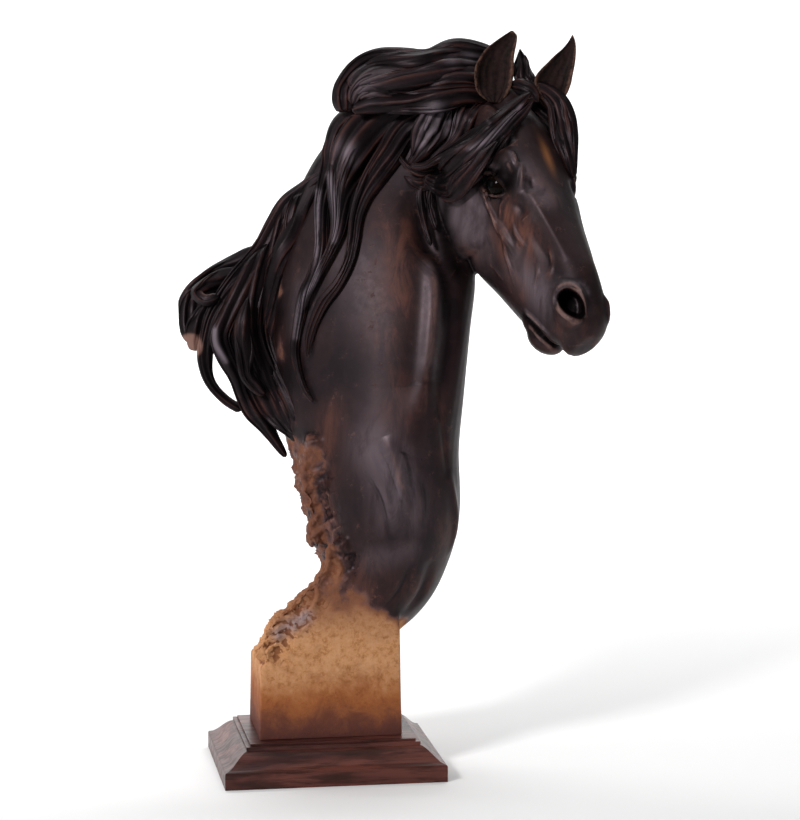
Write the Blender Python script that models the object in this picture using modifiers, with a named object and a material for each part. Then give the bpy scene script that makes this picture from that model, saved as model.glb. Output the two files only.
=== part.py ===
"""Horse bust cast in one with its block, standing on a moulded wooden plinth.

Metres, +Z up. The origin is the centre of the plinth's underside and -Y is the front.
Sizes and places on the horse are shares of its head's length, from poll to upper lip.
"""

import math

import bmesh
import bpy
import numpy as np
from mathutils import Matrix, Vector, noise
from mathutils.bvhtree import BVHTree

MM = 0.001

# The plinth: a slab, an ogee above it, then two small square steps.
PLINTH_WIDTH = 136 * MM
PLINTH_DEPTH = 112 * MM
SLAB_HEIGHT = 10.6 * MM
SLAB_ROUND = 1.4 * MM
OGEE_HEIGHT = 9.6 * MM
OGEE_RUN = 14.5 * MM
STEP_HEIGHT = 2.2 * MM
STEP_RUN = 2.6 * MM
TOP_HEIGHT = 1.4 * MM
PLINTH_TOP = SLAB_HEIGHT + OGEE_HEIGHT + STEP_HEIGHT + TOP_HEIGHT

# The casting stands on the plinth with a hair's gap under it.
SEAT_GAP = 0.3 * MM
HEAD = 180 * MM
BLOCK_WIDTH = 88 * MM
BLOCK_DEPTH = 60 * MM
BLOCK_LEAN = 1.4 * MM
BLOCK_SHOULDER = 44 * MM
BLOCK_SLOPE = 38
BLOCK_TOP = 0.46 * HEAD
BLOCK_BELOW = 6 * MM

# How finely the casting is skinned, how many triangles it keeps, and how strongly the thinning of
# them is held back from the face.
BODY_VOXEL = 1.5 * MM
SKIN_VOXEL = 1.3 * MM
CASTING_TRIANGLES = 9400
SPARING = 0.00003

# How the head is held: turned, bent down and tilted, in degrees, and where its poll is.
HEAD_TURN = 72
HEAD_BEND = 45
HEAD_TILT = -12
POLL = (0.660, 0.055, 2.188)

# The hair is set out on a grid, as it is seen from the front left. Columns run to the right and
# rows run down. At a distance of one head's length a head covers this many squares.
GRID = 2916
GRID_MIDDLE = (400, 410)
VIEW_AIM = (0.263, 0.0, 1.098)
VIEW_TURN = -9.0
VIEW_RISE = 7.3
VIEW_FAR = 10.0


def cleared_scene():
    for obj in list(bpy.data.objects):
        bpy.data.objects.remove(obj, do_unlink=True)


def new_collection(name):
    made = bpy.data.collections.new(name)
    bpy.context.scene.collection.children.link(made)
    return made


def material(name, colour, roughness, metallic=0.0):
    made = bpy.data.materials.new(name)
    made.use_nodes = True
    shader = made.node_tree.nodes["Principled BSDF"]
    shader.inputs["Base Color"].default_value = (*colour, 1.0)
    shader.inputs["Roughness"].default_value = roughness
    shader.inputs["Metallic"].default_value = metallic
    return made


# Places


def seat_height():
    return PLINTH_TOP + SEAT_GAP


def placed(points):
    """Points of the figure, in head lengths from the middle of its seat."""
    return np.asarray(points, float) * HEAD + np.array([0, 0, seat_height()])


def heading(turn):
    """Unit vectors ahead, up and to the horse's right for a turn from +X towards the front."""
    a = math.radians(turn)
    ahead = np.array([math.cos(a), -math.sin(a), 0.0])
    up = np.array([0.0, 0.0, 1.0])
    return ahead, up, np.cross(ahead, up)


def head_axes():
    """Unit vectors along the face, out of the forehead and to the horse's right."""
    ahead, up, right = heading(HEAD_TURN)
    bend, tilt = math.radians(HEAD_BEND), math.radians(HEAD_TILT)
    along = math.cos(bend) * ahead - math.sin(bend) * up
    square = math.sin(bend) * ahead + math.cos(bend) * up
    out = math.cos(tilt) * square + math.sin(tilt) * right
    return along, out, math.cos(tilt) * right - math.sin(tilt) * square


def on_head(points):
    """Points given along the face, out of it and to the horse's right, from the poll."""
    axes = np.array(head_axes())
    return placed(np.asarray(POLL) + np.asarray(points, float) @ axes)


def view_axes():
    """Unit vectors towards the viewpoint, to its right and up."""
    turn, rise = math.radians(VIEW_TURN), math.radians(VIEW_RISE)
    back = np.array([math.sin(turn) * math.cos(rise), -math.cos(turn) * math.cos(rise), math.sin(rise)])
    right = np.array([math.cos(turn), math.sin(turn), 0.0])
    return back, right, np.cross(back, right)


def sight(column, row):
    """The viewpoint and the unit ray from it through a place on the grid, in head lengths."""
    back, right, up = view_axes()
    eye = np.asarray(VIEW_AIM) + back * VIEW_FAR
    ray = -back * GRID + right * (column - GRID_MIDDLE[0]) - up * (row - GRID_MIDDLE[1])
    return eye, ray / np.linalg.norm(ray)


def on_grid(points):
    """The column and row where each point is seen, and the unit rays that reach them."""
    back, right, up = view_axes()
    away = (np.asarray(points) - placed(sight(*GRID_MIDDLE)[0])) / HEAD
    far = -(away @ back)
    column = GRID_MIDDLE[0] + GRID * (away @ right) / far
    row = GRID_MIDDLE[1] - GRID * (away @ up) / far
    return column, row, away / np.linalg.norm(away, axis=1)[:, None]


def sighted(column, row, depth):
    """The point seen at a place on the grid, this far behind the middle of the seat."""
    eye, ray = sight(column, row)
    return placed(eye + ray * (depth - eye[1]) / ray[1])


# Lofts and skins


def eased(rows, count):
    """Rows of numbers made into count rows that run smoothly through them."""
    rows = np.asarray(rows, float)
    ends = np.vstack([2 * rows[0] - rows[1], rows, 2 * rows[-1] - rows[-2]])
    at = np.linspace(0, len(rows) - 1, count)
    start = np.minimum(at.astype(int), len(rows) - 2)
    t = (at - start)[:, None]
    a, b, c, d = (ends[start + k] for k in range(4))
    return 0.5 * (
        2 * b + (c - a) * t + (2 * a - 5 * b + 4 * c - d) * t**2 + (3 * b - a - 3 * c + d) * t**3
    )


def outwards(mesh):
    bm = bmesh.new()
    bm.from_mesh(mesh)
    bmesh.ops.recalc_face_normals(bm, faces=bm.faces)
    bm.to_mesh(mesh)
    bm.free()


def loft(rings):
    """A closed mesh through rings of equally many points, with a flat cap at each end."""
    rings = np.asarray(rings, float)
    count, sides = rings.shape[:2]
    faces = []
    for i in range(count - 1):
        for j in range(sides):
            k = (j + 1) % sides
            faces.append((i * sides + j, i * sides + k, (i + 1) * sides + k, (i + 1) * sides + j))
    faces.append(tuple(reversed(range(sides))))
    faces.append(tuple(range((count - 1) * sides, count * sides)))
    mesh = bpy.data.meshes.new("loft")
    mesh.from_pydata(rings.reshape(-1, 3).tolist(), [], faces)
    outwards(mesh)
    return mesh


def ball(matrix, segments=24):
    """An ellipsoid: the unit ball carried by a matrix."""
    bm = bmesh.new()
    bmesh.ops.create_uvsphere(bm, u_segments=segments, v_segments=segments // 2, radius=1, matrix=matrix)
    mesh = bpy.data.meshes.new("ball")
    bm.to_mesh(mesh)
    bm.free()
    outwards(mesh)
    return mesh


def fused(meshes, voxel):
    """One closed skin over overlapping closed meshes."""
    bm = bmesh.new()
    for mesh in meshes:
        bm.from_mesh(mesh)
    together = bpy.data.meshes.new("together")
    bm.to_mesh(together)
    bm.free()
    obj = bpy.data.objects.new("together", together)
    bpy.context.scene.collection.objects.link(obj)
    skin = obj.modifiers.new("skin", "REMESH")
    skin.mode = "VOXEL"
    skin.voxel_size = voxel
    graph = bpy.context.evaluated_depsgraph_get()
    made = bpy.data.meshes.new_from_object(obj.evaluated_get(graph))
    bpy.data.objects.remove(obj, do_unlink=True)
    return made


def step(low, high, value):
    """0 below low, 1 above high, easing between them."""
    t = np.clip((value - low) / (high - low), 0, 1)
    return t * t * (3 - 2 * t)


class Clay:
    """A mesh worked like clay. Sizes of a stroke are in head lengths."""

    def __init__(self, mesh):
        self.mesh = mesh
        self.points = np.empty(len(mesh.vertices) * 3, np.float32)
        mesh.vertices.foreach_get("co", self.points)
        self.points = self.points.reshape(-1, 3).astype(float)
        edges = np.empty(len(mesh.edges) * 2, np.int32)
        mesh.edges.foreach_get("vertices", edges)
        self.edges = edges.reshape(-1, 2)
        self.touching = np.maximum(np.bincount(edges, minlength=len(self.points)), 1)[:, None]

    def shares(self):
        """Every point in head lengths from the middle of the seat."""
        return (self.points - np.array([0, 0, seat_height()])) / HEAD

    def face_shares(self):
        """Every point along the face, out of it and aside, from the poll. Both sides count as one."""
        local = (self.shares() - np.asarray(POLL)) @ np.array(head_axes()).T
        local[:, 2] = np.abs(local[:, 2])
        return local

    def normals(self):
        self.store()
        found = np.empty(len(self.points) * 3, np.float32)
        self.mesh.vertices.foreach_get("normal", found)
        return found.reshape(-1, 3).astype(float)

    def store(self):
        self.mesh.vertices.foreach_set("co", self.points.astype(np.float32).ravel())
        self.mesh.update()

    def soften(self, rounds, weight=None):
        """Rounds of moving each point halfway to the mean of its neighbours."""
        first, second = self.edges.T
        count = len(self.points)
        for _ in range(rounds):
            total = np.empty_like(self.points)
            for axis in range(3):
                line = self.points[:, axis]
                total[:, axis] = np.bincount(first, line[second], count)
                total[:, axis] += np.bincount(second, line[first], count)
            move = (total / self.touching - self.points) * 0.5
            if weight is not None:
                move *= weight[:, None]
            self.points += move

    def stroke(self, local, path, radius, height, count=24):
        """Raise a ridge along a path, or press a groove where height is negative."""
        line = eased(path, count)
        low, high = line.min(axis=0) - 2 * radius, line.max(axis=0) + 2 * radius
        near = np.flatnonzero(np.all((local > low) & (local < high), axis=1))
        if not len(near):
            return
        away = np.full(len(near), 9.0)
        fade = np.zeros(len(near))
        spot = local[near]
        for i in range(count - 1):
            leg = line[i + 1] - line[i]
            t = np.clip((spot - line[i]) @ leg / (leg @ leg + 1e-12), 0, 1)
            gap = np.linalg.norm(spot - line[i] - t[:, None] * leg, axis=1)
            closer = gap < away
            away[closer] = gap[closer]
            fade[closer] = (i + t[closer]) / (count - 1)
        tips = np.sin(math.pi * np.clip(fade, 0, 1)) ** 0.8
        lift = height * HEAD * np.exp(-((away / radius) ** 2) * 2) * tips
        self.points[near] += self.normals()[near] * lift[:, None]


# The neck and chest: egg-shaped rings along a bent spine.

NECK = (
    # x, y, z of the spine, turn of the ring, reach to the throat, to the crest, to each side
    (0.140, 0.005, 0.34, 34, 0.100, 0.150, 0.140),
    (0.160, 0.010, 0.44, 36, 0.180, 0.200, 0.172),
    (0.188, 0.018, 0.58, 38, 0.240, 0.215, 0.202),
    (0.202, 0.030, 0.74, 38, 0.278, 0.290, 0.220),
    (0.195, 0.050, 0.96, 36, 0.288, 0.345, 0.212),
    (0.205, 0.075, 1.16, 32, 0.300, 0.390, 0.198),
    (0.220, 0.100, 1.37, 26, 0.306, 0.400, 0.182),
    (0.250, 0.145, 1.60, 20, 0.300, 0.360, 0.158),
    (0.310, 0.215, 1.82, 24, 0.205, 0.290, 0.136),
    (0.425, 0.215, 1.97, 44, 0.180, 0.240, 0.122),
    (0.590, 0.130, 2.03, 66, 0.160, 0.170, 0.120),
)
NECK_EGG = 0.14
NECK_SIDES = 40


def neck_rings(count):
    rows = eased(NECK, count)
    spine = rows[:, :3]
    tangent = np.gradient(spine, axis=0)
    tangent /= np.linalg.norm(tangent, axis=1)[:, None]
    around = np.linspace(0, 2 * math.pi, NECK_SIDES, endpoint=False)
    rings = []
    for centre, along, (turn, front, back, side) in zip(spine, tangent, rows[:, 3:]):
        right = heading(turn)[2]
        throat = np.cross(right, along)
        throat /= -np.linalg.norm(throat)
        across = np.cross(throat, along)
        reach = np.where(np.cos(around) > 0, front, back) * np.cos(around)
        width = side * np.sin(around) * (1 + NECK_EGG * np.cos(around))
        rings.append(placed(centre + reach[:, None] * throat + width[:, None] * across))
    return rings


# The head: a long face of boxy rings, with the bones and muscles laid over it.

FACE = (
    # along, top, widest line, bottom, half width, squareness above, squareness below
    (-0.03, -0.040, -0.16, -0.280, 0.080, 2.0, 2.0),
    (0.04, 0.000, -0.15, -0.370, 0.110, 2.1, 2.0),
    (0.14, 0.018, -0.14, -0.440, 0.130, 2.2, 2.1),
    (0.26, 0.022, -0.12, -0.490, 0.143, 2.4, 2.2),
    (0.36, 0.012, -0.12, -0.488, 0.143, 2.6, 2.2),
    (0.46, 0.000, -0.14, -0.466, 0.125, 2.6, 2.2),
    (0.57, -0.010, -0.17, -0.428, 0.106, 2.5, 2.2),
    (0.68, -0.016, -0.18, -0.396, 0.092, 2.4, 2.2),
    (0.78, -0.022, -0.17, -0.362, 0.086, 2.2, 2.2),
    (0.86, -0.042, -0.16, -0.318, 0.088, 2.1, 2.1),
    (0.925, -0.066, -0.15, -0.270, 0.083, 2.0, 2.1),
    (0.965, -0.098, -0.16, -0.250, 0.066, 2.0, 2.0),
    (0.990, -0.135, -0.18, -0.230, 0.038, 2.0, 2.0),
)
FACE_SIDES = 36


def face_rings(count):
    rings = []
    around = np.linspace(0, 2 * math.pi, FACE_SIDES, endpoint=False)
    for along, top, middle, bottom, half, square_up, square_down in eased(FACE, count):
        square = np.where(np.sin(around) > 0, square_up, square_down)
        reach = np.where(np.sin(around) > 0, top - middle, middle - bottom)
        out = middle + reach * np.sign(np.sin(around)) * np.abs(np.sin(around)) ** (2 / square)
        side = half * np.sign(np.cos(around)) * np.abs(np.cos(around)) ** (2 / square)
        rings.append(on_head(np.column_stack([np.full_like(out, along), out, side])))
    return rings


def head_ball(centre, radii, lean=0.0, splay=0.0):
    """An ellipsoid on the head. Lean turns it in the face's own profile, splay turns it outwards."""
    axes = Matrix(np.array(head_axes()).T.tolist()).to_4x4()
    turn = Matrix.Rotation(math.radians(splay), 4, "Y") @ Matrix.Rotation(math.radians(lean), 4, "Z")
    size = Matrix.Diagonal((*(r * HEAD for r in radii), 1.0))
    return ball(Matrix.Translation(Vector(on_head(centre))) @ axes @ turn @ size)


PAIRED = (
    # centre along, out, aside; radii; lean; splay
    ((0.230, -0.305, 0.078), (0.205, 0.218, 0.060), 0, 0),
    ((0.145, -0.085, 0.100), (0.120, 0.075, 0.045), 0, 0),
    ((0.345, -0.075, 0.112), (0.100, 0.062, 0.042), -20, 12),
    ((0.50, -0.195, 0.088), (0.150, 0.028, 0.034), -3, 10),
    ((0.885, -0.125, 0.050), (0.068, 0.068, 0.028), 35, -8),
    ((0.80, -0.185, 0.052), (0.100, 0.070, 0.036), 0, 0),
)
SINGLE = (
    # the round of the near cheek, the near nostril's wing, and what joins the far cheek to the neck
    ((0.225, -0.308, 0.098), (0.216, 0.230, 0.076), 0, 0),
    ((0.890, -0.125, 0.062), (0.074, 0.074, 0.040), 35, -8),
    ((0.110, -0.250, -0.045), (0.180, 0.190, 0.080), 0, 0),
    ((0.835, -0.330, 0.0), (0.082, 0.050, 0.056), 25, 0),
    ((0.780, -0.330, 0.0), (0.110, 0.042, 0.060), 6, 0),
    ((0.940, -0.180, 0.0), (0.050, 0.088, 0.068), 12, 0),
    ((0.02, -0.020, 0.0), (0.080, 0.040, 0.060), 0, 0),
)


def head_masses():
    made = [loft(face_rings(30))]
    for (along, out, side), radii, lean, splay in PAIRED:
        made.append(head_ball((along, out, side), radii, lean, splay))
        made.append(head_ball((along, out, -side), radii, lean, -splay))
    for centre, radii, lean, splay in SINGLE:
        made.append(head_ball(centre, radii, lean, splay))
    return made


# Strokes on the head: path along, out and aside; radius; height. They fall on both sides.

FACE_STROKES = (
    # the hollow over the eye and the hollow under its front corner
    (((0.20, -0.030, 0.13), (0.26, -0.010, 0.12)), 0.045, -0.022),
    (((0.44, -0.090, 0.13), (0.52, -0.095, 0.11)), 0.032, -0.012),
    # the socket
    (((0.332, -0.132, 0.167), (0.362, -0.122, 0.167)), 0.060, -0.032),
    # the nasal bone's edge and the hollow below it
    (((0.44, -0.035, 0.10), (0.58, -0.035, 0.085), (0.74, -0.045, 0.06)), 0.025, 0.009),
    (((0.55, -0.10, 0.11), (0.68, -0.105, 0.09), (0.78, -0.10, 0.08)), 0.036, -0.014),
    # the crest of the cheek
    (((0.40, -0.200, 0.145), (0.50, -0.205, 0.125), (0.60, -0.210, 0.10)), 0.024, 0.012),
    # the hollow before the cheek's round plate
    (((0.40, -0.43, 0.12), (0.45, -0.36, 0.13), (0.46, -0.28, 0.13)), 0.034, -0.014),
    # mouth and the groove behind the chin
    (((0.735, -0.330, 0.080), (0.81, -0.305, 0.085), (0.89, -0.282, 0.065),
        (0.975, -0.250, 0.0)), 0.011, -0.042),
    (((0.755, -0.375, 0.05), (0.755, -0.380, 0.0)), 0.020, -0.010),
)

# Strokes on the body: columns and rows of the grid; radius; height.

BODY_STROKES = (
    # the shadow behind the jaw and the hollow of the throat
    (((418, 190), (420, 212), (426, 238), (438, 258), (454, 272)), 0.060, -0.034),
    # the windpipe's ridge and the channel beside it
    (((428, 250), (433, 284), (431, 330), (426, 376), (418, 420)), 0.042, 0.024),
    (((448, 270), (452, 320), (446, 370), (438, 420)), 0.045, -0.022),
    # the shoulder's soft folds
    (((415, 385), (420, 420), (410, 455)), 0.090, 0.014),
    (((372, 440), (382, 462), (394, 492), (402, 524)), 0.030, -0.008),
    (((386, 436), (396, 464), (405, 500)), 0.028, 0.010),
    (((398, 440), (408, 462), (414, 492)), 0.024, -0.006),
    (((448, 470), (455, 520), (448, 556)), 0.030, 0.012),
    (((430, 560), (424, 590), (404, 614)), 0.030, -0.016),
)

# Hair: each lock is a path of column, row, half width and, where it is clear of the body, its depth.

LOCKS = (
    # the roll over the crest: its mass, then what lies on it
    (0.85, 0.02, ((506, 76, 12, 0.14), (480, 70, 18, 0.13), (450, 69, 23, 0.12), (420, 75, 24, 0.14),
        (390, 80, 25, 0.17), (366, 86, 20, 0.19), (352, 94, 14, 0.19))),
    (0.95, 0.02, ((500, 62, 9, 0.13), (480, 55, 12, 0.13), (455, 53, 14, 0.13), (430, 62, 14, 0.17),
        (405, 62, 15, 0.21), (380, 63, 15, 0.24), (359, 70, 13, 0.24), (345, 86, 11, 0.22),
        (344, 100, 12, 0.20), (346, 112, 8, 0.19))),
    (0.90, 0.02, ((496, 84, 10, 0.10), (466, 77, 13, 0.07), (440, 81, 14, 0.09), (415, 86, 14, 0.13),
        (390, 84, 14, 0.16), (369, 85, 12, 0.17), (357, 93, 9, 0.17), (352, 104, 5, 0.16))),
    (0.80, 0.02, ((500, 97, 10, 0.08), (470, 94, 11, 0.05), (440, 99, 12, 0.05), (415, 103, 11, 0.09),
        (392, 104, 10, 0.12), (370, 106, 8, 0.14), (352, 110, 5, 0.15))),
    # the broad fall on the near side of the neck
    (0.50, 0.03, ((432, 100, 16), (400, 114, 22), (375, 131, 26), (358, 151, 26), (347, 173, 21),
        (341, 194, 15), (339, 214, 10), (336, 234, 7), (329, 252, 5), (320, 270, 4), (311, 290, 3),
        (304, 310, 1))),
    (0.80, 0.02, ((400, 105, 14, 0.16), (366, 113, 15, 0.22), (344, 126, 14, 0.26),
        (335, 146, 12, 0.26), (332, 166, 10, 0.24), (326, 186, 8, 0.21), (322, 206, 7), (321, 228, 6),
        (320, 250, 6), (313, 275, 6), (305, 293, 6), (301, 312, 6), (297, 332, 5), (295, 352, 5),
        (299, 374, 4), (306, 392, 3), (313, 402, 2))),
    (0.55, 0.02, ((428, 112, 12), (405, 131, 14), (391, 153, 14), (375, 176, 12), (363, 197, 9),
        (356, 218, 7), (353, 240, 6), (348, 262, 5), (337, 284, 5), (323, 302, 6), (314, 322, 5),
        (309, 340, 4), (307, 357, 1))),
    # the mass blown back off the crest
    (0.80, 0.02, ((330, 170, 9, 0.27), (308, 189, 10, 0.30), (289, 205, 12, 0.32), (277, 225, 13, 0.33),
        (266, 246, 13, 0.33), (253, 263, 12, 0.32), (240, 279, 12, 0.31), (226, 298, 11, 0.30),
        (214, 318, 10, 0.29), (208, 338, 9, 0.28), (205, 356, 8, 0.27), (207, 374, 6, 0.26),
        (214, 388, 5, 0.25), (227, 401, 5, 0.24), (242, 410, 5, 0.22))),
    (0.80, 0.02, ((266, 246, 10, 0.37), (247, 259, 11, 0.38), (229, 269, 11, 0.39),
        (211, 279, 11, 0.39), (197, 290, 10, 0.38), (188, 303, 9, 0.37), (185, 318, 7, 0.35),
        (186, 332, 6, 0.33), (191, 342, 4, 0.31))),
    (0.80, 0.02, ((242, 270, 9, 0.34), (222, 278, 9, 0.34), (206, 285, 8, 0.33), (197, 293, 7, 0.31),
        (205, 300, 6, 0.28), (219, 297, 5, 0.27))),
    (0.75, 0.02, ((242, 270, 8, 0.37), (219, 286, 12, 0.38), (202, 302, 13, 0.37), (196, 320, 11, 0.35),
        (197, 338, 8, 0.33))),
    (0.75, 0.02, ((232, 288, 9, 0.33), (218, 302, 10, 0.33), (205, 313, 10, 0.33), (197, 326, 10, 0.32),
        (194, 340, 8, 0.31), (196, 351, 5, 0.31))),
    (0.75, 0.02, ((264, 248, 10, 0.31), (251, 274, 11, 0.28), (240, 296, 11, 0.26),
        (229, 316, 10, 0.25), (221, 336, 11, 0.24), (226, 355, 10, 0.23), (237, 376, 8, 0.22),
        (244, 395, 8, 0.21), (252, 410, 9, 0.20), (264, 424, 8, 0.19), (274, 439, 6, 0.18),
        (282, 451, 4, 0.17), (286, 457, 2, 0.17))),
    (0.75, 0.02, ((270, 242, 9, 0.31), (260, 270, 10, 0.28), (253, 300, 10, 0.26), (251, 326, 10, 0.24),
        (256, 348, 10, 0.23), (265, 370, 10, 0.21), (274, 390, 9, 0.19), (284, 410, 8, 0.17),
        (293, 426, 7, 0.14), (299, 440, 5, 0.12), (301, 452, 3, 0.11))),
    (0.75, 0.02, ((289, 206, 9, 0.31), (282, 232, 9, 0.30), (275, 258, 9, 0.29), (269, 286, 9, 0.28),
        (264, 308, 9, 0.27), (263, 330, 9, 0.26), (268, 350, 9, 0.24), (276, 368, 8, 0.21),
        (284, 386, 8, 0.17), (292, 404, 7, 0.13), (298, 422, 5, 0.10))),
    (0.70, 0.02, ((302, 192, 8, 0.29), (293, 214, 7, 0.27), (288, 240, 6, 0.25), (284, 262, 6, 0.23),
        (277, 280, 4, 0.23))),
    (0.70, 0.02, ((248, 298, 6, 0.20), (242, 328, 9, 0.18), (244, 354, 10, 0.17), (247, 375, 7, 0.16),
        (257, 388, 6, 0.15), (265, 395, 3, 0.15))),
    (0.90, 0.02, ((250, 360, 12, 0.24), (264, 388, 13, 0.21), (280, 412, 13, 0.18),
        (295, 432, 10, 0.14), (303, 445, 6, 0.10))),
    (0.90, 0.02, ((268, 290, 14, 0.34), (262, 330, 16, 0.32), (270, 370, 16, 0.26),
        (286, 405, 13, 0.19), (300, 430, 8, 0.13))),
    # behind the near ear: a smooth combed lock, a narrow one beside it and the curls that they meet in
    (0.55, 0.03, ((450, 98, 9), (438, 112, 15), (429, 130, 17), (422, 147, 12), (415, 158, 6),
        (408, 163, 3))),
    (0.60, 0.03, ((470, 98, 7), (463, 112, 7), (459, 128, 7), (452, 142, 5), (441, 152, 4),
        (430, 160, 3))),
    (0.60, 0.03, ((482, 104, 7), (472, 120, 8), (462, 138, 7), (448, 152, 5), (436, 162, 4),
        (421, 169, 3))),
    (0.70, 0.02, ((436, 170, 5), (422, 173, 5), (411, 169, 4), (403, 161, 3), (399, 154, 2))),
    (0.70, 0.02, ((436, 181, 5), (423, 185, 5), (413, 183, 4), (404, 176, 2))),
    # down the back of the jaw
    (0.80, 0.01, ((424, 172, 5), (420, 190, 4.5), (422, 210, 4), (426, 230, 3.5), (431, 246, 2.5))),
    (0.80, 0.01, ((434, 176, 4), (429, 194, 4), (431, 212, 3.5), (436, 230, 2.5))),
)

# Locks on the far side of the crest, which no path on the grid can show: share of the way up the
# neck where each one starts, how far down it runs and how far round.

FAR_LOCKS = (
    (0.95, 0.17, 1.05),
    (0.90, 0.20, 0.80),
    (0.85, 0.18, 1.00),
    (0.80, 0.21, 0.75),
    (0.75, 0.18, 0.95),
    (0.70, 0.20, 0.70),
    (0.65, 0.18, 0.90),
    (0.60, 0.19, 0.65),
    (0.55, 0.16, 0.80),
)

FORELOCK = (
    # swept to the near side over the brow, then down beside the far eye
    (0.42, 0.05, ((534, 98, 5), (518, 112, 9), (500, 130, 12), (482, 150, 16), (465, 168, 19),
        (450, 182, 17), (437, 184, 10), (424, 178, 5))),
    (0.60, 0.07, ((530, 93, 6), (511, 109, 7), (492, 124, 7), (473, 138, 7), (455, 149, 6),
        (440, 157, 5), (424, 166, 4), (410, 166, 3))),
    (0.45, 0.06, ((498, 140, 5), (482, 158, 8), (469, 174, 10), (458, 188, 10), (450, 197, 6),
        (441, 196, 3))),
    (0.60, 0.03, ((524, 84, 8, 0.00), (542, 90, 9, -0.02), (556, 102, 12, -0.04), (562, 118, 14, -0.06),
        (565, 134, 13, -0.09), (568, 150, 10, -0.12), (571, 164, 7, -0.14), (574, 178, 3, -0.15))),
    (0.50, 0.02, ((526, 88, 9, 0.06), (538, 102, 12, 0.07), (548, 116, 12, 0.05), (556, 131, 11, 0.00),
        (562, 146, 9, -0.05), (568, 160, 7, -0.10), (573, 174, 3, -0.13))),
    (0.50, 0.02, ((520, 49, 3, 0.06), (521, 58, 6, 0.05), (523, 68, 8, 0.03), (526, 79, 9, 0.01),
        (534, 90, 7, -0.01))),
    (0.60, 0.02, ((508, 84, 6, 0.03), (519, 86, 8, 0.0), (530, 92, 8, -0.03), (538, 102, 5, -0.05))),
)


NECK_STEPS = 101
NECK_GRID = np.array(neck_rings(NECK_STEPS))


def neck_place(share, angle, lift):
    """A point over the neck: share of the way up, angle from the throat to the near side, lift."""
    ring = NECK_GRID[int(round(share * (NECK_STEPS - 1)))]
    middle = ring.mean(axis=0)
    spot = ring[int(round(angle / (2 * math.pi) * NECK_SIDES)) % NECK_SIDES]
    return spot + (spot - middle) / np.linalg.norm(spot - middle) * lift * HEAD


def crest_locks():
    """The roll of hair along the crest, and the short locks that lie back from it."""
    path = np.array([neck_place(share, math.pi, 0.0) for share in np.linspace(0.50, 1.0, 9)])
    half = HEAD * (0.030 + 0.028 * np.sin(np.linspace(0.3, 2.9, 9)))
    made = [rope(path, half, 1.0, 40)]
    for start, run, turn in FAR_LOCKS:
        path = []
        for t in np.linspace(0, 1, 6):
            sway = 0.12 * math.sin(2 * math.pi * t)
            angle = math.pi - 0.15 + turn * (t + sway)
            path.append(neck_place(start - run * t, angle, 0.035 - 0.025 * t * t))
        half = HEAD * 0.040 * (1 - np.linspace(0, 0.9, 6) ** 1.5)
        made.append(rope(np.array(path), half, 0.6, 16))
    return made


def rope(centre, half, flat, steps, sides=10, facing=None):
    """A tapering rope through points; flat is its thickness as a share of its width."""
    rows = eased(np.column_stack([centre, half]), steps)
    tangent = np.gradient(rows[:, :3], axis=0)
    tangent /= np.linalg.norm(tangent, axis=1)[:, None]
    middle = placed((NECK[6][0], NECK[6][1], 0))
    around = np.linspace(0, 2 * math.pi, sides, endpoint=False)
    rings = []
    for i, (row, along) in enumerate(zip(rows, tangent)):
        out = row[:3] - middle if facing is None else facing - row[:3]
        across = np.cross(along, out)
        across /= np.linalg.norm(across)
        out = np.cross(across, along)
        from_end = min(i, steps - 1 - i)
        size = max(row[3], 0.3 * MM) * (1.0 if from_end > 2 else math.sin(math.pi * (from_end + 0.6) / 7.2))
        ring = np.cos(around)[:, None] * across + flat * np.sin(around)[:, None] * out
        rings.append(row[:3] + ring * size)
    return loft(rings)


def dropped(tree, column, row, lift):
    """Where the sight line meets the body, raised towards the viewer, or nothing where it misses."""
    eye, ray = sight(column, row)
    hit = tree.ray_cast(Vector(placed(eye)), Vector(ray))[0]
    if hit is None:
        return None
    return np.array(hit) - ray * lift * HEAD


def lock_points(tree, lift, path):
    """Centre points of a lock: on the body, or at the depth given, or at its neighbour's depth."""
    found = []
    for column, row, half, *depth in path:
        found.append(sighted(column, row, depth[0]) if depth else dropped(tree, column, row, lift))
    known = [i for i, point in enumerate(found) if point is not None]
    for i, point in enumerate(found):
        if point is None:
            nearest = min(known, key=lambda k: abs(k - i), default=0)
            depth = found[nearest][1] / HEAD if known else 0.0
            found[i] = sighted(path[i][0], path[i][1], depth)
    return np.array(found)


def lock(tree, flat, lift, path):
    """A lock of hair: a tapering rope, flattened towards the viewer."""
    half = np.array([row[2] for row in path]) * VIEW_FAR / GRID * HEAD
    viewer = placed(sight(*GRID_MIDDLE)[0])
    return rope(lock_points(tree, lift, path), half, flat, 4 * len(path), facing=viewer)


# Ears: hollow leaves, each between a left and a right edge on the grid, from its foot to its tip.

EARS = (
    # left edge and right edge from foot to tip, depth of the foot and of the tip
    (
        ((489, 102), (479, 94), (475, 84), (475, 68), (480, 57), (488, 46), (497, 37), (505, 30),
         (511, 25)),
        ((499, 103), (507, 95), (512, 84), (514, 70), (514, 58), (516, 46), (517, 38), (517, 31),
         (513, 25)),
        (0.0, 0.02),
    ),
    (
        ((542, 100), (536, 88), (535, 78), (540, 70), (548, 62), (555, 55), (562, 49), (568, 42),
         (572, 35)),
        ((562, 100), (567, 94), (571, 84), (573, 74), (575, 64), (576, 54), (576, 46), (575, 40),
         (573, 35)),
        (-0.04, 0.0),
    ),
)


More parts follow.
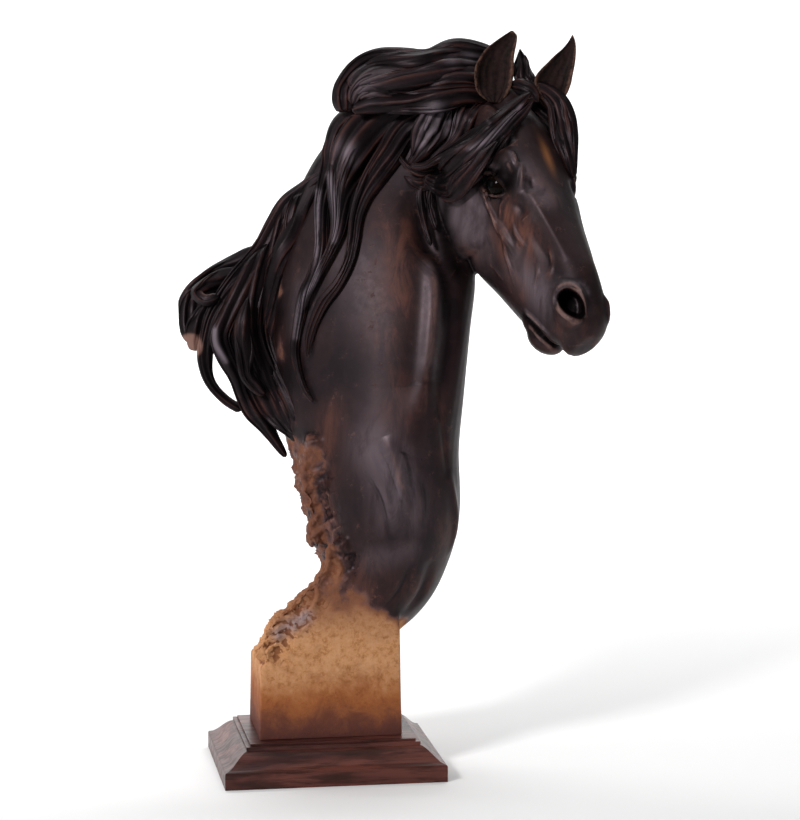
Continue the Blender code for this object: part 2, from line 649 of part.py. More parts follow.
def ear(left, right, depths, steps=18, sides=9):
    """A thin leaf between two edges, cupped towards the viewer."""
    edges = []
    for edge in (left, right):
        depth = np.linspace(*depths, len(edge))
        edges.append(eased([sighted(column, row, far) for (column, row), far in zip(edge, depth)], steps))
    middle, across = (edges[0] + edges[1]) / 2, (edges[1] - edges[0]) / 2
    back = np.linspace(0, math.pi, sides)
    front = np.linspace(math.pi, 0, sides)[1:-1]
    rings = []
    for i in range(steps):
        t = i / (steps - 1)
        facing = np.cross(across[i], middle[min(i + 1, steps - 1)] - middle[max(i - 1, 0)])
        facing /= np.linalg.norm(facing)
        deep = np.linalg.norm(across[i]) * (0.85 - 0.25 * t)
        hollow = deep * 0.50 * step(0.02, 0.30, t)
        ring = [middle[i] + across[i] * math.cos(a) - facing * deep * math.sin(a) for a in back]
        ring += [middle[i] + across[i] * 0.8 * math.cos(a) - facing * hollow * math.sin(a) for a in front]
        rings.append(ring)
    return loft(rings)


# Nostrils: a slanting hole on each side, set out on the grid as the near one is seen.

NOSTRIL_PLACE = (573, 305)
NOSTRIL_SIZE = (12.5, 20.0)
NOSTRIL_SLANT = 38
NOSTRIL_DEPTH = 0.11
NOSTRIL_RIM = 0.012
FAR_NOSTRIL = 0.3
FAR_NARROWER = 1.6
SEPTUM = 0.016


def reflected(points):
    """Points mirrored in the head's middle plane."""
    aside = head_axes()[2]
    away = (points - placed(POLL)) @ aside
    return points - 2 * away[:, None] * aside


def round_nostril(points):
    """How each point lies to the near nostril.

    Gives its distance from the middle, 1 at the edge, its place along the hole, its sight ray, its
    room to the septum and how much it is on the muzzle.
    """
    slant = math.radians(NOSTRIL_SLANT)
    column, row, ray = on_grid(points)
    across, down = column - NOSTRIL_PLACE[0], row - NOSTRIL_PLACE[1]
    wide = (across * math.cos(slant) - down * math.sin(slant)) / NOSTRIL_SIZE[0]
    long = (down * math.cos(slant) + across * math.sin(slant)) / NOSTRIL_SIZE[1]
    # wider at its upper end
    away = np.hypot(wide / (1 - 0.25 * np.clip(long, -1, 1)), long)
    aside = (points - placed(POLL)) @ head_axes()[2] / HEAD
    on_muzzle = step(0.72, 0.76, (points - placed(POLL)) @ head_axes()[0] / HEAD)
    return away, long, ray, np.maximum(aside - SEPTUM, 0), on_muzzle


def nostrils(clay):
    """Press a hole into each side of the muzzle, deep on the near side, and raise a rim round it."""
    for near in (True, False):
        points = clay.points if near else reflected(clay.points)
        away, long, ray, room, on_muzzle = round_nostril(points)
        away = away if near else away * FAR_NARROWER
        sink = np.minimum(NOSTRIL_DEPTH, room / 0.6)
        # the wall slopes in gently at the lower end
        sink *= step(1.0, 0.5, away) * (1 - 0.5 * step(0.1, 0.9, long) * step(0.4, 1.0, away))
        sink *= 1.0 if near else FAR_NOSTRIL
        # the rim fades at its lower end, where the wing runs into the lip
        rim = NOSTRIL_RIM * np.exp(-(((away - 1.18) / 0.15) ** 2)) * (0.1 + 0.9 * step(0.6, -0.3, long))
        rim *= step(0.0, 0.04, room) * near
        points = points + ray * (HEAD * on_muzzle * (sink - rim))[:, None]
        clay.points = points if near else reflected(points)


# Eyes: a ball in each socket and a rim above and below it, given on the head.

EYE_CENTRE = (0.348, -0.128, 0.114)
EYE_RADIUS = 0.054
EYE_SLANT = 30
LID_LENGTH = 0.070
LIDS = (
    # thickness, rise over the middle of the eye, how far out the lid's middle stands
    (0.010, 0.033, 0.164),
    (0.007, -0.034, 0.158),
)


def eyes():
    """Both balls, and the rims of both eyes: two arcs from corner to corner on the slant."""
    made = []
    turn = math.radians(EYE_SLANT)
    for side in (1, -1):
        made.append(head_ball((*EYE_CENTRE[:2], side * EYE_CENTRE[2]), (EYE_RADIUS,) * 3))
        for thick, rise, reach in LIDS:
            path = []
            for a in np.linspace(0, math.pi, 7):
                long, high = LID_LENGTH * math.cos(a), rise * math.sin(a)
                along = EYE_CENTRE[0] + long * math.cos(turn) - high * math.sin(turn)
                out = EYE_CENTRE[1] + long * math.sin(turn) + high * math.cos(turn)
                path.append((along, out, side * (reach - 0.020 * math.cos(a) ** 2)))
            far = on_head((EYE_CENTRE[0], EYE_CENTRE[1], side * 9))
            made.append(rope(on_head(path), np.full(len(path), thick * HEAD), 1.0, 16, facing=far))
    return made


# The block and the torn edge between it and the horse.


def block_mesh():
    """The upright block: four walls that lean in a little, its left shoulder broken away on a slope."""
    half, deep = BLOCK_WIDTH / 2, BLOCK_DEPTH / 2
    low = seat_height() - BLOCK_BELOW
    shoulder = seat_height() + BLOCK_SHOULDER
    top = seat_height() + BLOCK_TOP
    inner = -half + (top - shoulder) / math.tan(math.radians(BLOCK_SLOPE))
    outline = (
        (-half, low),
        (half, low),
        (half - BLOCK_LEAN, top - 0.04 * HEAD),
        (half * 0.6, top),
        (inner, top),
        (-half + BLOCK_LEAN * 0.6, shoulder),
    )
    rings = []
    for side in (-1, 1):
        rings.append([(x, side * (deep - BLOCK_LEAN * (z - low) / (top - low)), z) for x, z in outline])
    return loft(rings)


# The torn edge's left outline: height, then place across.
# Broken masses fill it between the block and the neck.

TORN_HEIGHTS = (0.24, 0.31, 0.41, 0.48, 0.51, 0.59, 0.63, 0.645, 0.72, 0.85, 0.95, 1.05)
TORN_EDGE = (-0.240, -0.222, -0.145, -0.08, -0.055, 0.000, 0.015, -0.050, -0.055, -0.085, -0.075, -0.07)

# The broken masses: outline as columns and rows of the grid, then depths and how far each is drawn in.

OVERHANG = (
    ((335, 425), (306, 432), (302, 444), (300, 458), (299, 482), (302, 500), (307, 514), (308, 526),
     (307, 535), (311, 542), (322, 546), (333, 541), (350, 536), (362, 500), (362, 460)),
    ((-0.04, 0.16), (0.00, 0.06), (0.06, 0.01), (0.14, 0.0), (0.22, 0.04)),
)
SLOPE = (
    ((352, 532), (333, 538), (330, 550), (329, 561), (326, 569), (318, 573), (316, 582), (309, 584),
     (303, 593), (293, 600), (286, 609), (278, 613), (270, 624), (262, 636), (254, 650), (262, 668),
     (300, 680), (370, 640)),
    ((-0.160, 0.13), (-0.140, 0.05), (-0.06, 0.015), (0.03, 0.0), (0.11, 0.0), (0.16, 0.05)),
)


def break_masses():
    """The two broken masses between the neck and the block, thick in depth and drawn in at both faces."""
    made = []
    for outline, depths in (OVERHANG, SLOPE):
        middle = np.mean(outline, axis=0)
        rings = []
        for depth, drawn in depths:
            ring = (np.array(outline) - middle) * (1 - drawn) + middle
            rings.append([sighted(column, row, depth) for column, row in ring])
        made.append(loft(rings))
    return made


LEDGE_RISE = 0.015
LUMP_RISE = 0.022
CHIP_RISE = 0.009


def torn(clay):
    """Break up the skin along the torn edge into slanting ledges, lumps and chips."""
    where = clay.shares()
    edge = np.interp(where[:, 2], TORN_HEIGHTS, TORN_EDGE)
    low, high = TORN_HEIGHTS[0], TORN_HEIGHTS[-1]
    weight = step(0.13, 0.02, where[:, 0] - edge) * step(low - 0.01, low + 0.06, where[:, 2])
    weight *= step(high, high - 0.25, where[:, 2])
    normals = clay.normals()
    for i in np.flatnonzero(weight > 0.01):
        spot = Vector(where[i])
        # ledges run up to the right, as the break does, and split into lumps
        bend = noise.noise(spot * 5) * 2.2 + noise.noise(spot * 13) * 0.8
        level = (spot.z - 0.75 * spot.x) * 13 + spot.y * 4 + bend
        ledge = level - math.floor(level)
        ledge = ledge if ledge < 0.8 else 4 * (1 - ledge)
        lumps = noise.fractal(spot * 14, 1.0, 2.1, 5)
        chips = noise.turbulence(spot * 60, 4, True)
        lift = LEDGE_RISE * (ledge - 0.5) + LUMP_RISE * lumps + CHIP_RISE * (chips - 0.9)
        clay.points[i] += normals[i] * HEAD * weight[i] * lift


def plinth_mesh():
    """Rings of the plinth's outline from its underside up: slab, ogee, step and top."""
    profile = [(0.0, 0.0), (0.0, SLAB_HEIGHT - SLAB_ROUND)]
    for a in np.linspace(0, math.pi / 2, 5)[1:]:
        profile.append((SLAB_ROUND * (1 - math.cos(a)), SLAB_HEIGHT - SLAB_ROUND * (1 - math.sin(a))))
    start, run = SLAB_ROUND, OGEE_RUN - SLAB_ROUND
    for t in np.linspace(0, 1, 10)[1:]:
        rise = 0.5 - 0.5 * math.cos(math.pi * t)
        profile.append((start + run * t, SLAB_HEIGHT + OGEE_HEIGHT * (0.35 * t + 0.65 * rise)))
    inset, height = profile[-1]
    profile.append((inset, height + STEP_HEIGHT))
    profile.append((inset + STEP_RUN, height + STEP_HEIGHT))
    profile.append((inset + STEP_RUN, PLINTH_TOP))
    rings = []
    for inset, height in profile:
        x, y = PLINTH_WIDTH / 2 - inset, PLINTH_DEPTH / 2 - inset
        rings.append([(sx * x, sy * y, height) for sx, sy in ((-1, -1), (1, -1), (1, 1), (-1, 1))])
    return loft(rings)


def body_mesh():
    """The bare horse: neck, chest and head, worked like clay."""
    body = Clay(fused([loft(neck_rings(44))] + head_masses(), BODY_VOXEL))
    body.soften(6)
    local = body.face_shares()
    for path, radius, height in FACE_STROKES:
        body.stroke(local, path, radius, height)
    nostrils(body)
    body.store()
    tree = tree_of(body)
    where = body.shares()
    for path, radius, height in BODY_STROKES:
        spots = [dropped(tree, column, row, 0) for column, row in path]
        spots = [(spot - np.array([0, 0, seat_height()])) / HEAD for spot in spots if spot is not None]
        if len(spots) > 1:
            body.stroke(where, spots, radius, height)
    body.store()
    return body


def tree_of(clay):
    faces = [tuple(face.vertices) for face in clay.mesh.polygons]
    return BVHTree.FromPolygons([tuple(point) for point in clay.points], faces)


def in_one(mesh):
    """Only the largest of the mesh's separate skins: chips that touch nothing are left off."""
    count = len(mesh.vertices)
    edges = np.empty(len(mesh.edges) * 2, np.int32)
    mesh.edges.foreach_get("vertices", edges)
    first, second = edges.reshape(-1, 2).T
    label = np.arange(count)
    changed = True
    while changed:
        lower = label.copy()
        np.minimum.at(lower, first, label[second])
        np.minimum.at(lower, second, label[first])
        lower = lower[lower]
        changed = bool((lower != label).any())
        label = lower
    largest = np.bincount(label).argmax()
    bm = bmesh.new()
    bm.from_mesh(mesh)
    loose = [vertex for vertex, own in zip(bm.verts, label) if own != largest]
    bmesh.ops.delete(bm, geom=loose, context="VERTS")
    bm.to_mesh(mesh)
    bm.free()
    return mesh


def thinned(mesh, triangles, spared):
    """The mesh brought down to this many triangles, with more of them kept where spared is high."""
    obj = bpy.data.objects.new("thinned", mesh)
    bpy.context.scene.collection.objects.link(obj)
    group = obj.vertex_groups.new(name="thin")
    for level in range(1, 11):
        chosen = np.flatnonzero(np.round(spared * 10).astype(int) == level)
        group.add(chosen.tolist(), level / 10, "REPLACE")
    less = obj.modifiers.new("fewer", "DECIMATE")
    less.ratio = triangles / (2 * len(mesh.polygons))
    less.vertex_group = group.name
    less.vertex_group_factor = SPARING
    less.invert_vertex_group = True
    less.use_collapse_triangulate = True
    graph = bpy.context.evaluated_depsgraph_get()
    made = bpy.data.meshes.new_from_object(obj.evaluated_get(graph))
    bpy.data.objects.remove(obj, do_unlink=True)
    return made


def cut_level(mesh, height):
    """Cut the mesh off flat at a height and close it."""
    bm = bmesh.new()
    bm.from_mesh(mesh)
    everything = bm.verts[:] + bm.edges[:] + bm.faces[:]
    cut = bmesh.ops.bisect_plane(
        bm, geom=everything, plane_co=(0, 0, height), plane_no=(0, 0, -1), clear_outer=True
    )
    rim = [item for item in cut["geom_cut"] if isinstance(item, bmesh.types.BMEdge)]
    bmesh.ops.holes_fill(bm, edges=rim, sides=0)
    bmesh.ops.triangulate(bm, faces=bm.faces)
    bm.to_mesh(mesh)
    bm.free()


def make(name, mesh, collection, look):
    obj = bpy.data.objects.new(name, mesh)
    mesh.name = name
    mesh.materials.clear()
    mesh.materials.append(look)
    collection.objects.link(obj)
    return obj


# The face keeps finer triangles: the middle and the radii of its region, from the poll.

FINE_MIDDLE = (0.55, -0.15, 0.0)
FINE_RADII = (0.75, 0.45, 0.45)
FINE_CORE = 0.4
FINE_SHARE = 0.9


def casting_mesh():
    body = body_mesh()
    tree = tree_of(body)
    parts = [body.mesh, block_mesh()] + break_masses() + crest_locks()
    parts += [lock(tree, *row) for row in LOCKS + FORELOCK]
    parts += [ear(*row) for row in EARS] + eyes()
    skin = Clay(fused(parts, SKIN_VOXEL))
    torn(skin)
    skin.store()
    whole = Clay(in_one(skin.mesh))
    away = np.linalg.norm((whole.face_shares() - FINE_MIDDLE) / FINE_RADII, axis=1)
    spared = FINE_SHARE * (1 - step(FINE_CORE, FINE_CORE + 1.0, away))
    mesh = thinned(whole.mesh, CASTING_TRIANGLES, spared)
    cut_level(mesh, seat_height())
    return mesh


def main():
    cleared_scene()
    sculpture = new_collection("horse_sculpture")
    resin = material("dark_cast_resin", (0.035, 0.026, 0.026), 0.36)
    wood = material("dark_polished_wood", (0.085, 0.035, 0.020), 0.30)
    casting = make("horse_bust", casting_mesh(), sculpture, resin)
    for face in casting.data.polygons:
        face.use_smooth = face.center.z > seat_height() + BLOCK_SHOULDER
    make("plinth", plinth_mesh(), sculpture, wood)


main()
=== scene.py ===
"""The looks of the horse bust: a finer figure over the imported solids, its paint, wood and light.

The figure is worked out as the solid is, from the same sizes, in finer steps.
Metres, +Z up. The origin is the centre of the plinth's underside and -Y is the front.
"""

import math
from contextlib import contextmanager

import bmesh
import bpy
import numpy as np
from mathutils import Matrix, Vector, noise
from mathutils.bvhtree import BVHTree


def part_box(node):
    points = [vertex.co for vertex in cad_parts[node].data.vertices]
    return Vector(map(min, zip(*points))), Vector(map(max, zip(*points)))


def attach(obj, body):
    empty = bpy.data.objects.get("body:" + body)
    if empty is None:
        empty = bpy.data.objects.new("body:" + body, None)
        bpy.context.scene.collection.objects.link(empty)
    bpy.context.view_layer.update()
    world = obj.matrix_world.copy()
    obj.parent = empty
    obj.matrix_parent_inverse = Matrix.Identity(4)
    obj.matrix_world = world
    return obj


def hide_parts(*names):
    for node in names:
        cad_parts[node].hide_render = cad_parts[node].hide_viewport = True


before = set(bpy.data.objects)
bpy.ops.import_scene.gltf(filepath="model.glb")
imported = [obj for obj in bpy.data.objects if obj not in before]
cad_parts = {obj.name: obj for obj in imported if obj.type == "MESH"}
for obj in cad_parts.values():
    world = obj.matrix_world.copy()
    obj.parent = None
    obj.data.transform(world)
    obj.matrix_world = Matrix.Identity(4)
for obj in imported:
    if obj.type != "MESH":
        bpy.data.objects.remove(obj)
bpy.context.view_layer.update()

MM = 0.001

# The plinth's moulding, as heights and runs inwards.
SLAB_HEIGHT = 10.6 * MM
SLAB_ROUND = 1.4 * MM
OGEE_HEIGHT = 9.6 * MM
OGEE_RUN = 14.5 * MM
STEP_HEIGHT = 2.2 * MM
STEP_RUN = 2.6 * MM

# Sizes that come from the frame: the plinth's top and the box that holds the casting.
PLINTH_HIGH = np.array(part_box("plinth")[1])
BUST_LOW, BUST_HIGH = (np.array(corner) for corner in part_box("horse_bust"))
SEAT = BUST_LOW[2]

# How far the pieces keep inside that box, how far over the seat the skin is cut off, and the
# height of the tips that are brought down.
INSET = 0.05 * MM
CUT = 0.02 * MM
TIP = 15 * MM

# The horse's head, from poll to upper lip, which measures everything on the figure.
HEAD = 180 * MM
BLOCK_WIDTH = 88 * MM
BLOCK_DEPTH = 60 * MM
BLOCK_LEAN = 1.4 * MM
BLOCK_SHOULDER = 44 * MM
BLOCK_SLOPE = 38
BLOCK_TOP = 0.46 * HEAD
BLOCK_BELOW = 6 * MM
CORNER = math.radians(32)

# How finely the casting is skinned, and how many triangles its skin keeps.
COARSER = 1.0
BODY_VOXEL = 0.95 * MM * COARSER
SKIN_TRIANGLES = 190000
NECK_RINGS = 60
FACE_RINGS = 30
STROKE_STEPS = 24

# How the head is held: turned, bent down and tilted, in degrees, and where its poll is.
HEAD_TURN = 72
HEAD_BEND = 45
HEAD_TILT = -12
POLL = (0.660, 0.055, 2.188)

# The hair is set out on a grid, as it is seen from the front left. Columns run to the right and
# rows run down. At a distance of one head's length a head covers this many squares.
GRID = 2916
GRID_MIDDLE = (400, 410)
GRID_ROWS = 820
VIEW_AIM = (0.263, 0.0, 1.098)
VIEW_TURN = -9.0
VIEW_RISE = 7.3
VIEW_FAR = 10.0


# Places


def placed(points):
    """Points of the figure, in head lengths from the middle of its seat."""
    return np.asarray(points, float) * HEAD + np.array([0, 0, SEAT])


def shares_of(points):
    """Points in head lengths from the middle of the seat, which is the reverse of placed."""
    return (np.asarray(points) - np.array([0, 0, SEAT])) / HEAD


def heading(turn):
    """Unit vectors ahead, up and to the horse's right for a turn from +X towards the front."""
    a = math.radians(turn)
    ahead = np.array([math.cos(a), -math.sin(a), 0.0])
    up = np.array([0.0, 0.0, 1.0])
    return ahead, up, np.cross(ahead, up)


def head_axes():
    """Unit vectors along the face, out of the forehead and to the horse's right."""
    ahead, up, right = heading(HEAD_TURN)
    bend, tilt = math.radians(HEAD_BEND), math.radians(HEAD_TILT)
    along = math.cos(bend) * ahead - math.sin(bend) * up
    out = math.sin(bend) * ahead + math.cos(bend) * up
    tilted = math.cos(tilt) * out + math.sin(tilt) * right
    return along, tilted, math.cos(tilt) * right - math.sin(tilt) * out


def on_head(points):
    """Points given along the face, out of it and to the horse's right, from the poll."""
    axes = np.array(head_axes())
    return placed(np.asarray(POLL) + np.asarray(points, float) @ axes)


def face_shares(points):
    """Points along the face, out of it and aside, from the poll. Both sides count as one."""
    local = (shares_of(points) - np.asarray(POLL)) @ np.array(head_axes()).T
    local[:, 2] = np.abs(local[:, 2])
    return local


def view_axes():
    """Unit vectors towards the viewpoint, to its right and up."""
    turn, rise = math.radians(VIEW_TURN), math.radians(VIEW_RISE)
    back = np.array([math.sin(turn) * math.cos(rise), -math.cos(turn) * math.cos(rise), math.sin(rise)])
    right = np.array([math.cos(turn), math.sin(turn), 0.0])
    return back, right, np.cross(back, right)


def sight(column, row):
    """The viewpoint and the unit ray from it through a place on the grid, in head lengths."""
    back, right, up = view_axes()
    eye = np.asarray(VIEW_AIM) + back * VIEW_FAR
    ray = -back * GRID + right * (column - GRID_MIDDLE[0]) - up * (row - GRID_MIDDLE[1])
    return eye, ray / np.linalg.norm(ray)


def viewpoint():
    """The place that the grid is seen from."""
    return placed(sight(*GRID_MIDDLE)[0])


def on_grid(points):
    """The column and row where each point is seen, and the unit rays that reach them."""
    back, right, up = view_axes()
    away = (np.asarray(points) - viewpoint()) / HEAD
    far = -(away @ back)
    column = GRID_MIDDLE[0] + GRID * (away @ right) / far
    row = GRID_MIDDLE[1] - GRID * (away @ up) / far
    return column, row, units(away)


def sighted(column, row, depth):
    """The point seen at a place on the grid, this far behind the middle of the seat."""
    eye, ray = sight(column, row)
    return placed(eye + ray * (depth - eye[1]) / ray[1])


def dropped(tree, column, row, lift=0):
    """Where the sight line meets the body, raised towards the viewer, or nothing where it misses."""
    eye, ray = sight(column, row)
    hit = tree.ray_cast(Vector(placed(eye)), Vector(ray))[0]
    if hit is None:
        return None
    return np.array(hit) - ray * lift * HEAD


def traced(tree, path):
    """The points where a path of columns and rows meets the body."""
    spots = [dropped(tree, column, row) for column, row in path]
    return np.array([spot for spot in spots if spot is not None])


# Paths, lofts and skins


def eased(rows, count):
    """Rows of numbers made into count rows that run smoothly through them."""
    rows = np.asarray(rows, float)
    ends = np.vstack([2 * rows[0] - rows[1], rows, 2 * rows[-1] - rows[-2]])
    at = np.linspace(0, len(rows) - 1, count)
    start = np.minimum(at.astype(int), len(rows) - 2)
    t = (at - start)[:, None]
    a, b, c, d = (ends[start + k] for k in range(4))
    return 0.5 * (
        2 * b + (c - a) * t + (2 * a - 5 * b + 4 * c - d) * t**2 + (3 * b - a - 3 * c + d) * t**3
    )


def units(vectors):
    """Rows of vectors, each made one long."""
    return vectors / np.linalg.norm(vectors, axis=1)[:, None]


def directions(points):
    """The unit direction of a path at each of its points."""
    return units(np.gradient(points, axis=0))


def turned_to(facing, spot, along):
    """Unit vectors across a path and out of it, at a spot where its flat side faces a point."""
    across = np.cross(along, facing - spot)
    across /= np.linalg.norm(across)
    return across, np.cross(across, along)


def step(low, high, value):
    """0 below low, 1 above high, easing between them."""
    t = np.clip((value - low) / (high - low), 0, 1)
    return t * t * (3 - 2 * t)


def faded(*steps):
    """The product of several steps, each given as low, high and value."""
    share = 1.0
    for low, high, value in steps:
        share = share * step(low, high, value)
    return share


def read(items, key, width=3, kind=np.float32):
    """One property of all the items of a mesh, as rows of numbers."""
    found = np.empty(len(items) * width, kind)
    items.foreach_get(key, found)
    return found.reshape(-1, width)


def set_mark(mesh, name, values):
    """Give every point of the mesh a number, or a row of three, for its paint to read."""
    values = np.asarray(values, np.float32)
    kind, key = ("FLOAT", "value") if values.ndim == 1 else ("FLOAT_VECTOR", "vector")
    mesh.attributes.new(name, kind, "POINT").data.foreach_set(key, values.ravel())


@contextmanager
def worked(mesh):
    """The mesh opened for editing, and written back at the end."""
    bm = bmesh.new()
    bm.from_mesh(mesh)
    yield bm
    bm.to_mesh(mesh)
    bm.free()


def outwards(mesh):
    with worked(mesh) as bm:
        bmesh.ops.recalc_face_normals(bm, faces=bm.faces)


def loft(rings):
    """A closed mesh through rings of equally many points, with a flat cap at each end."""
    rings = np.asarray(rings, float)
    count, sides = rings.shape[:2]
    faces = []
    for i in range(count - 1):
        for j in range(sides):
            k = (j + 1) % sides
            faces.append((i * sides + j, i * sides + k, (i + 1) * sides + k, (i + 1) * sides + j))
    faces.append(tuple(reversed(range(sides))))
    faces.append(tuple(range((count - 1) * sides, count * sides)))
    mesh = bpy.data.meshes.new("loft")
    mesh.from_pydata(rings.reshape(-1, 3).tolist(), [], faces)
    outwards(mesh)
    return mesh


def ball(matrix, segments):
    """An ellipsoid: the unit ball carried by a matrix."""
    mesh = bpy.data.meshes.new("ball")
    with worked(mesh) as bm:
        bmesh.ops.create_uvsphere(
            bm, u_segments=segments, v_segments=segments // 2, radius=1, matrix=matrix
        )
    outwards(mesh)
    return mesh


def modified(mesh, kind, settings):
    """The mesh as one modifier leaves it."""
    obj = bpy.data.objects.new("modified", mesh)
    bpy.context.scene.collection.objects.link(obj)
    modifier = obj.modifiers.new("modifier", kind)
    for key, value in settings.items():
        setattr(modifier, key, value)
    graph = bpy.context.evaluated_depsgraph_get()
    made = bpy.data.meshes.new_from_object(obj.evaluated_get(graph))
    bpy.data.objects.remove(obj, do_unlink=True)
    return made


def fused(meshes, voxel):
    """One closed skin over overlapping closed meshes."""
    together = bpy.data.meshes.new("together")
    with worked(together) as bm:
        for mesh in meshes:
            bm.from_mesh(mesh)
    return modified(together, "REMESH", {"mode": "VOXEL", "voxel_size": voxel})


def thinned(mesh, triangles):
    """The mesh brought down to this many triangles where it has more."""
    return modified(mesh, "DECIMATE", {"ratio": min(1.0, triangles / (2 * len(mesh.polygons)))})


def in_one(mesh):
    """Leave only the largest of the mesh's separate skins. Chips that touch nothing go."""
    first, second = read(mesh.edges, "vertices", 2, np.int32).T
    label = np.arange(len(mesh.vertices))
    changed = True
    while changed:
        lower = label.copy()
        np.minimum.at(lower, first, label[second])
        np.minimum.at(lower, second, label[first])
        lower = lower[lower]
        changed = bool((lower != label).any())
        label = lower
    largest = np.bincount(label).argmax()
    with worked(mesh) as bm:
        loose = [vertex for vertex, own in zip(bm.verts, label) if own != largest]
        bmesh.ops.delete(bm, geom=loose, context="VERTS")
    return mesh


def cut_level(mesh, height):
    """Cut the mesh off flat at a height and close it."""
    with worked(mesh) as bm:
        everything = bm.verts[:] + bm.edges[:] + bm.faces[:]
        cut = bmesh.ops.bisect_plane(
            bm, geom=everything, plane_co=(0, 0, height), plane_no=(0, 0, -1), clear_outer=True
        )
        rim = [item for item in cut["geom_cut"] if isinstance(item, bmesh.types.BMEdge)]
        bmesh.ops.holes_fill(bm, edges=rim, sides=0)
        bmesh.ops.triangulate(bm, faces=bm.faces)


def keep_corners(mesh):
    """Leave the block's corners sharp in a mesh that is shaded smooth."""
    with worked(mesh) as bm:
        for edge in bm.edges:
            if edge.verts[0].co.z < SEAT + BLOCK_TOP:
                edge.smooth = edge.calc_face_angle(0.0) < CORNER


def inside_box(points):
    """Points kept in the box of the casting's solid."""
    return np.clip(points, BUST_LOW + INSET, BUST_HIGH - INSET)


class Clay:
    """A mesh worked like clay. Sizes of a stroke are in head lengths."""

    def __init__(self, mesh):
        self.mesh = mesh
        self.points = read(mesh.vertices, "co").astype(float)
        self.edges = read(mesh.edges, "vertices", 2, np.int32)
        touching = np.bincount(self.edges.ravel(), minlength=len(self.points))
        self.touching = np.maximum(touching, 1)[:, None]

    def away(self, centre, radii):
        """How far each point is from a place on the head, 1 where it reaches the radii."""
        return np.linalg.norm((face_shares(self.points) - centre) / radii, axis=1)

    def normals(self):
        self.store()
        return read(self.mesh.vertices, "normal").astype(float)

    def store(self):
        self.mesh.vertices.foreach_set("co", self.points.astype(np.float32).ravel())
        self.mesh.update()

    def soften(self, rounds, weight=None):
        """Rounds of moving each point halfway to the mean of its neighbours."""
        first, second = self.edges.T
        count = len(self.points)
        for _ in range(rounds):
            total = np.empty_like(self.points)
            for axis in range(3):
                line = self.points[:, axis]
                total[:, axis] = np.bincount(first, line[second], count)
                total[:, axis] += np.bincount(second, line[first], count)
            move = (total / self.touching - self.points) * 0.5
            if weight is not None:
                move *= weight[:, None]
            self.points += move

    def stroke(self, local, path, radius, height):
        """Raise a ridge along a path, or press a groove where height is negative."""
        line = eased(path, STROKE_STEPS)
        low, high = line.min(axis=0) - 2 * radius, line.max(axis=0) + 2 * radius
        near = np.flatnonzero(np.all((local > low) & (local < high), axis=1))
        if not len(near):
            return
        away = np.full(len(near), np.inf)
        fade = np.zeros(len(near))
        spot = local[near]
        for i in range(STROKE_STEPS - 1):
            leg = line[i + 1] - line[i]
            t = np.clip((spot - line[i]) @ leg / (leg @ leg + 1e-12), 0, 1)
            gap = np.linalg.norm(spot - line[i] - t[:, None] * leg, axis=1)
            closer = gap < away
            away[closer] = gap[closer]
            fade[closer] = (i + t[closer]) / (STROKE_STEPS - 1)
        tips = np.sin(math.pi * np.clip(fade, 0, 1)) ** 0.8
        lift = height * HEAD * np.exp(-((away / radius) ** 2) * 2) * tips
        self.points[near] += self.normals()[near] * lift[:, None]


def kept_inside(mesh):
    """Bring the highest tips down to the top of the casting's solid, and the rest inside its box."""
    clay = Clay(mesh)
    high = clay.points[:, 2].max()
    start, top = high - TIP, BUST_HIGH[2] - INSET
    if high > top:
        tips = clay.points[:, 2] > start
        clay.points[tips, 2] = start + (clay.points[tips, 2] - start) * (top - start) / TIP
    clay.points = inside_box(clay.points)
    clay.store()
    return mesh


# The neck and chest: egg-shaped rings along a bent spine.

NECK = (
    # x, y, z of the spine, turn of the ring, reach to the throat, to the crest, to each side
    (0.140, 0.005, 0.34, 34, 0.100, 0.150, 0.140),
    (0.160, 0.010, 0.44, 36, 0.180, 0.200, 0.172),
    (0.188, 0.018, 0.58, 38, 0.240, 0.215, 0.202),
    (0.202, 0.030, 0.74, 38, 0.278, 0.290, 0.220),
    (0.195, 0.050, 0.96, 36, 0.288, 0.345, 0.212),
    (0.205, 0.075, 1.16, 32, 0.300, 0.390, 0.198),
    (0.220, 0.100, 1.37, 26, 0.306, 0.400, 0.182),
    (0.250, 0.145, 1.60, 20, 0.300, 0.360, 0.158),
    (0.310, 0.215, 1.82, 24, 0.205, 0.290, 0.136),
    (0.425, 0.215, 1.97, 44, 0.180, 0.240, 0.122),
    (0.590, 0.130, 2.03, 66, 0.160, 0.170, 0.120),
)
NECK_EGG = 0.14
NECK_SIDES = 40


def neck_rings(count):
    rows = eased(NECK, count)
    spine = rows[:, :3]
    around = np.linspace(0, 2 * math.pi, NECK_SIDES, endpoint=False)
    rings = []
    for centre, along, (turn, front, back, side) in zip(spine, directions(spine), rows[:, 3:]):
        throat = np.cross(heading(turn)[2], along)
        throat /= -np.linalg.norm(throat)
        across = np.cross(throat, along)
        reach = np.where(np.cos(around) > 0, front, back) * np.cos(around)
        width = side * np.sin(around) * (1 + NECK_EGG * np.cos(around))
        rings.append(placed(centre + reach[:, None] * throat + width[:, None] * across))
    return rings


# The head: a long face of boxy rings, with the bones and muscles laid over it.

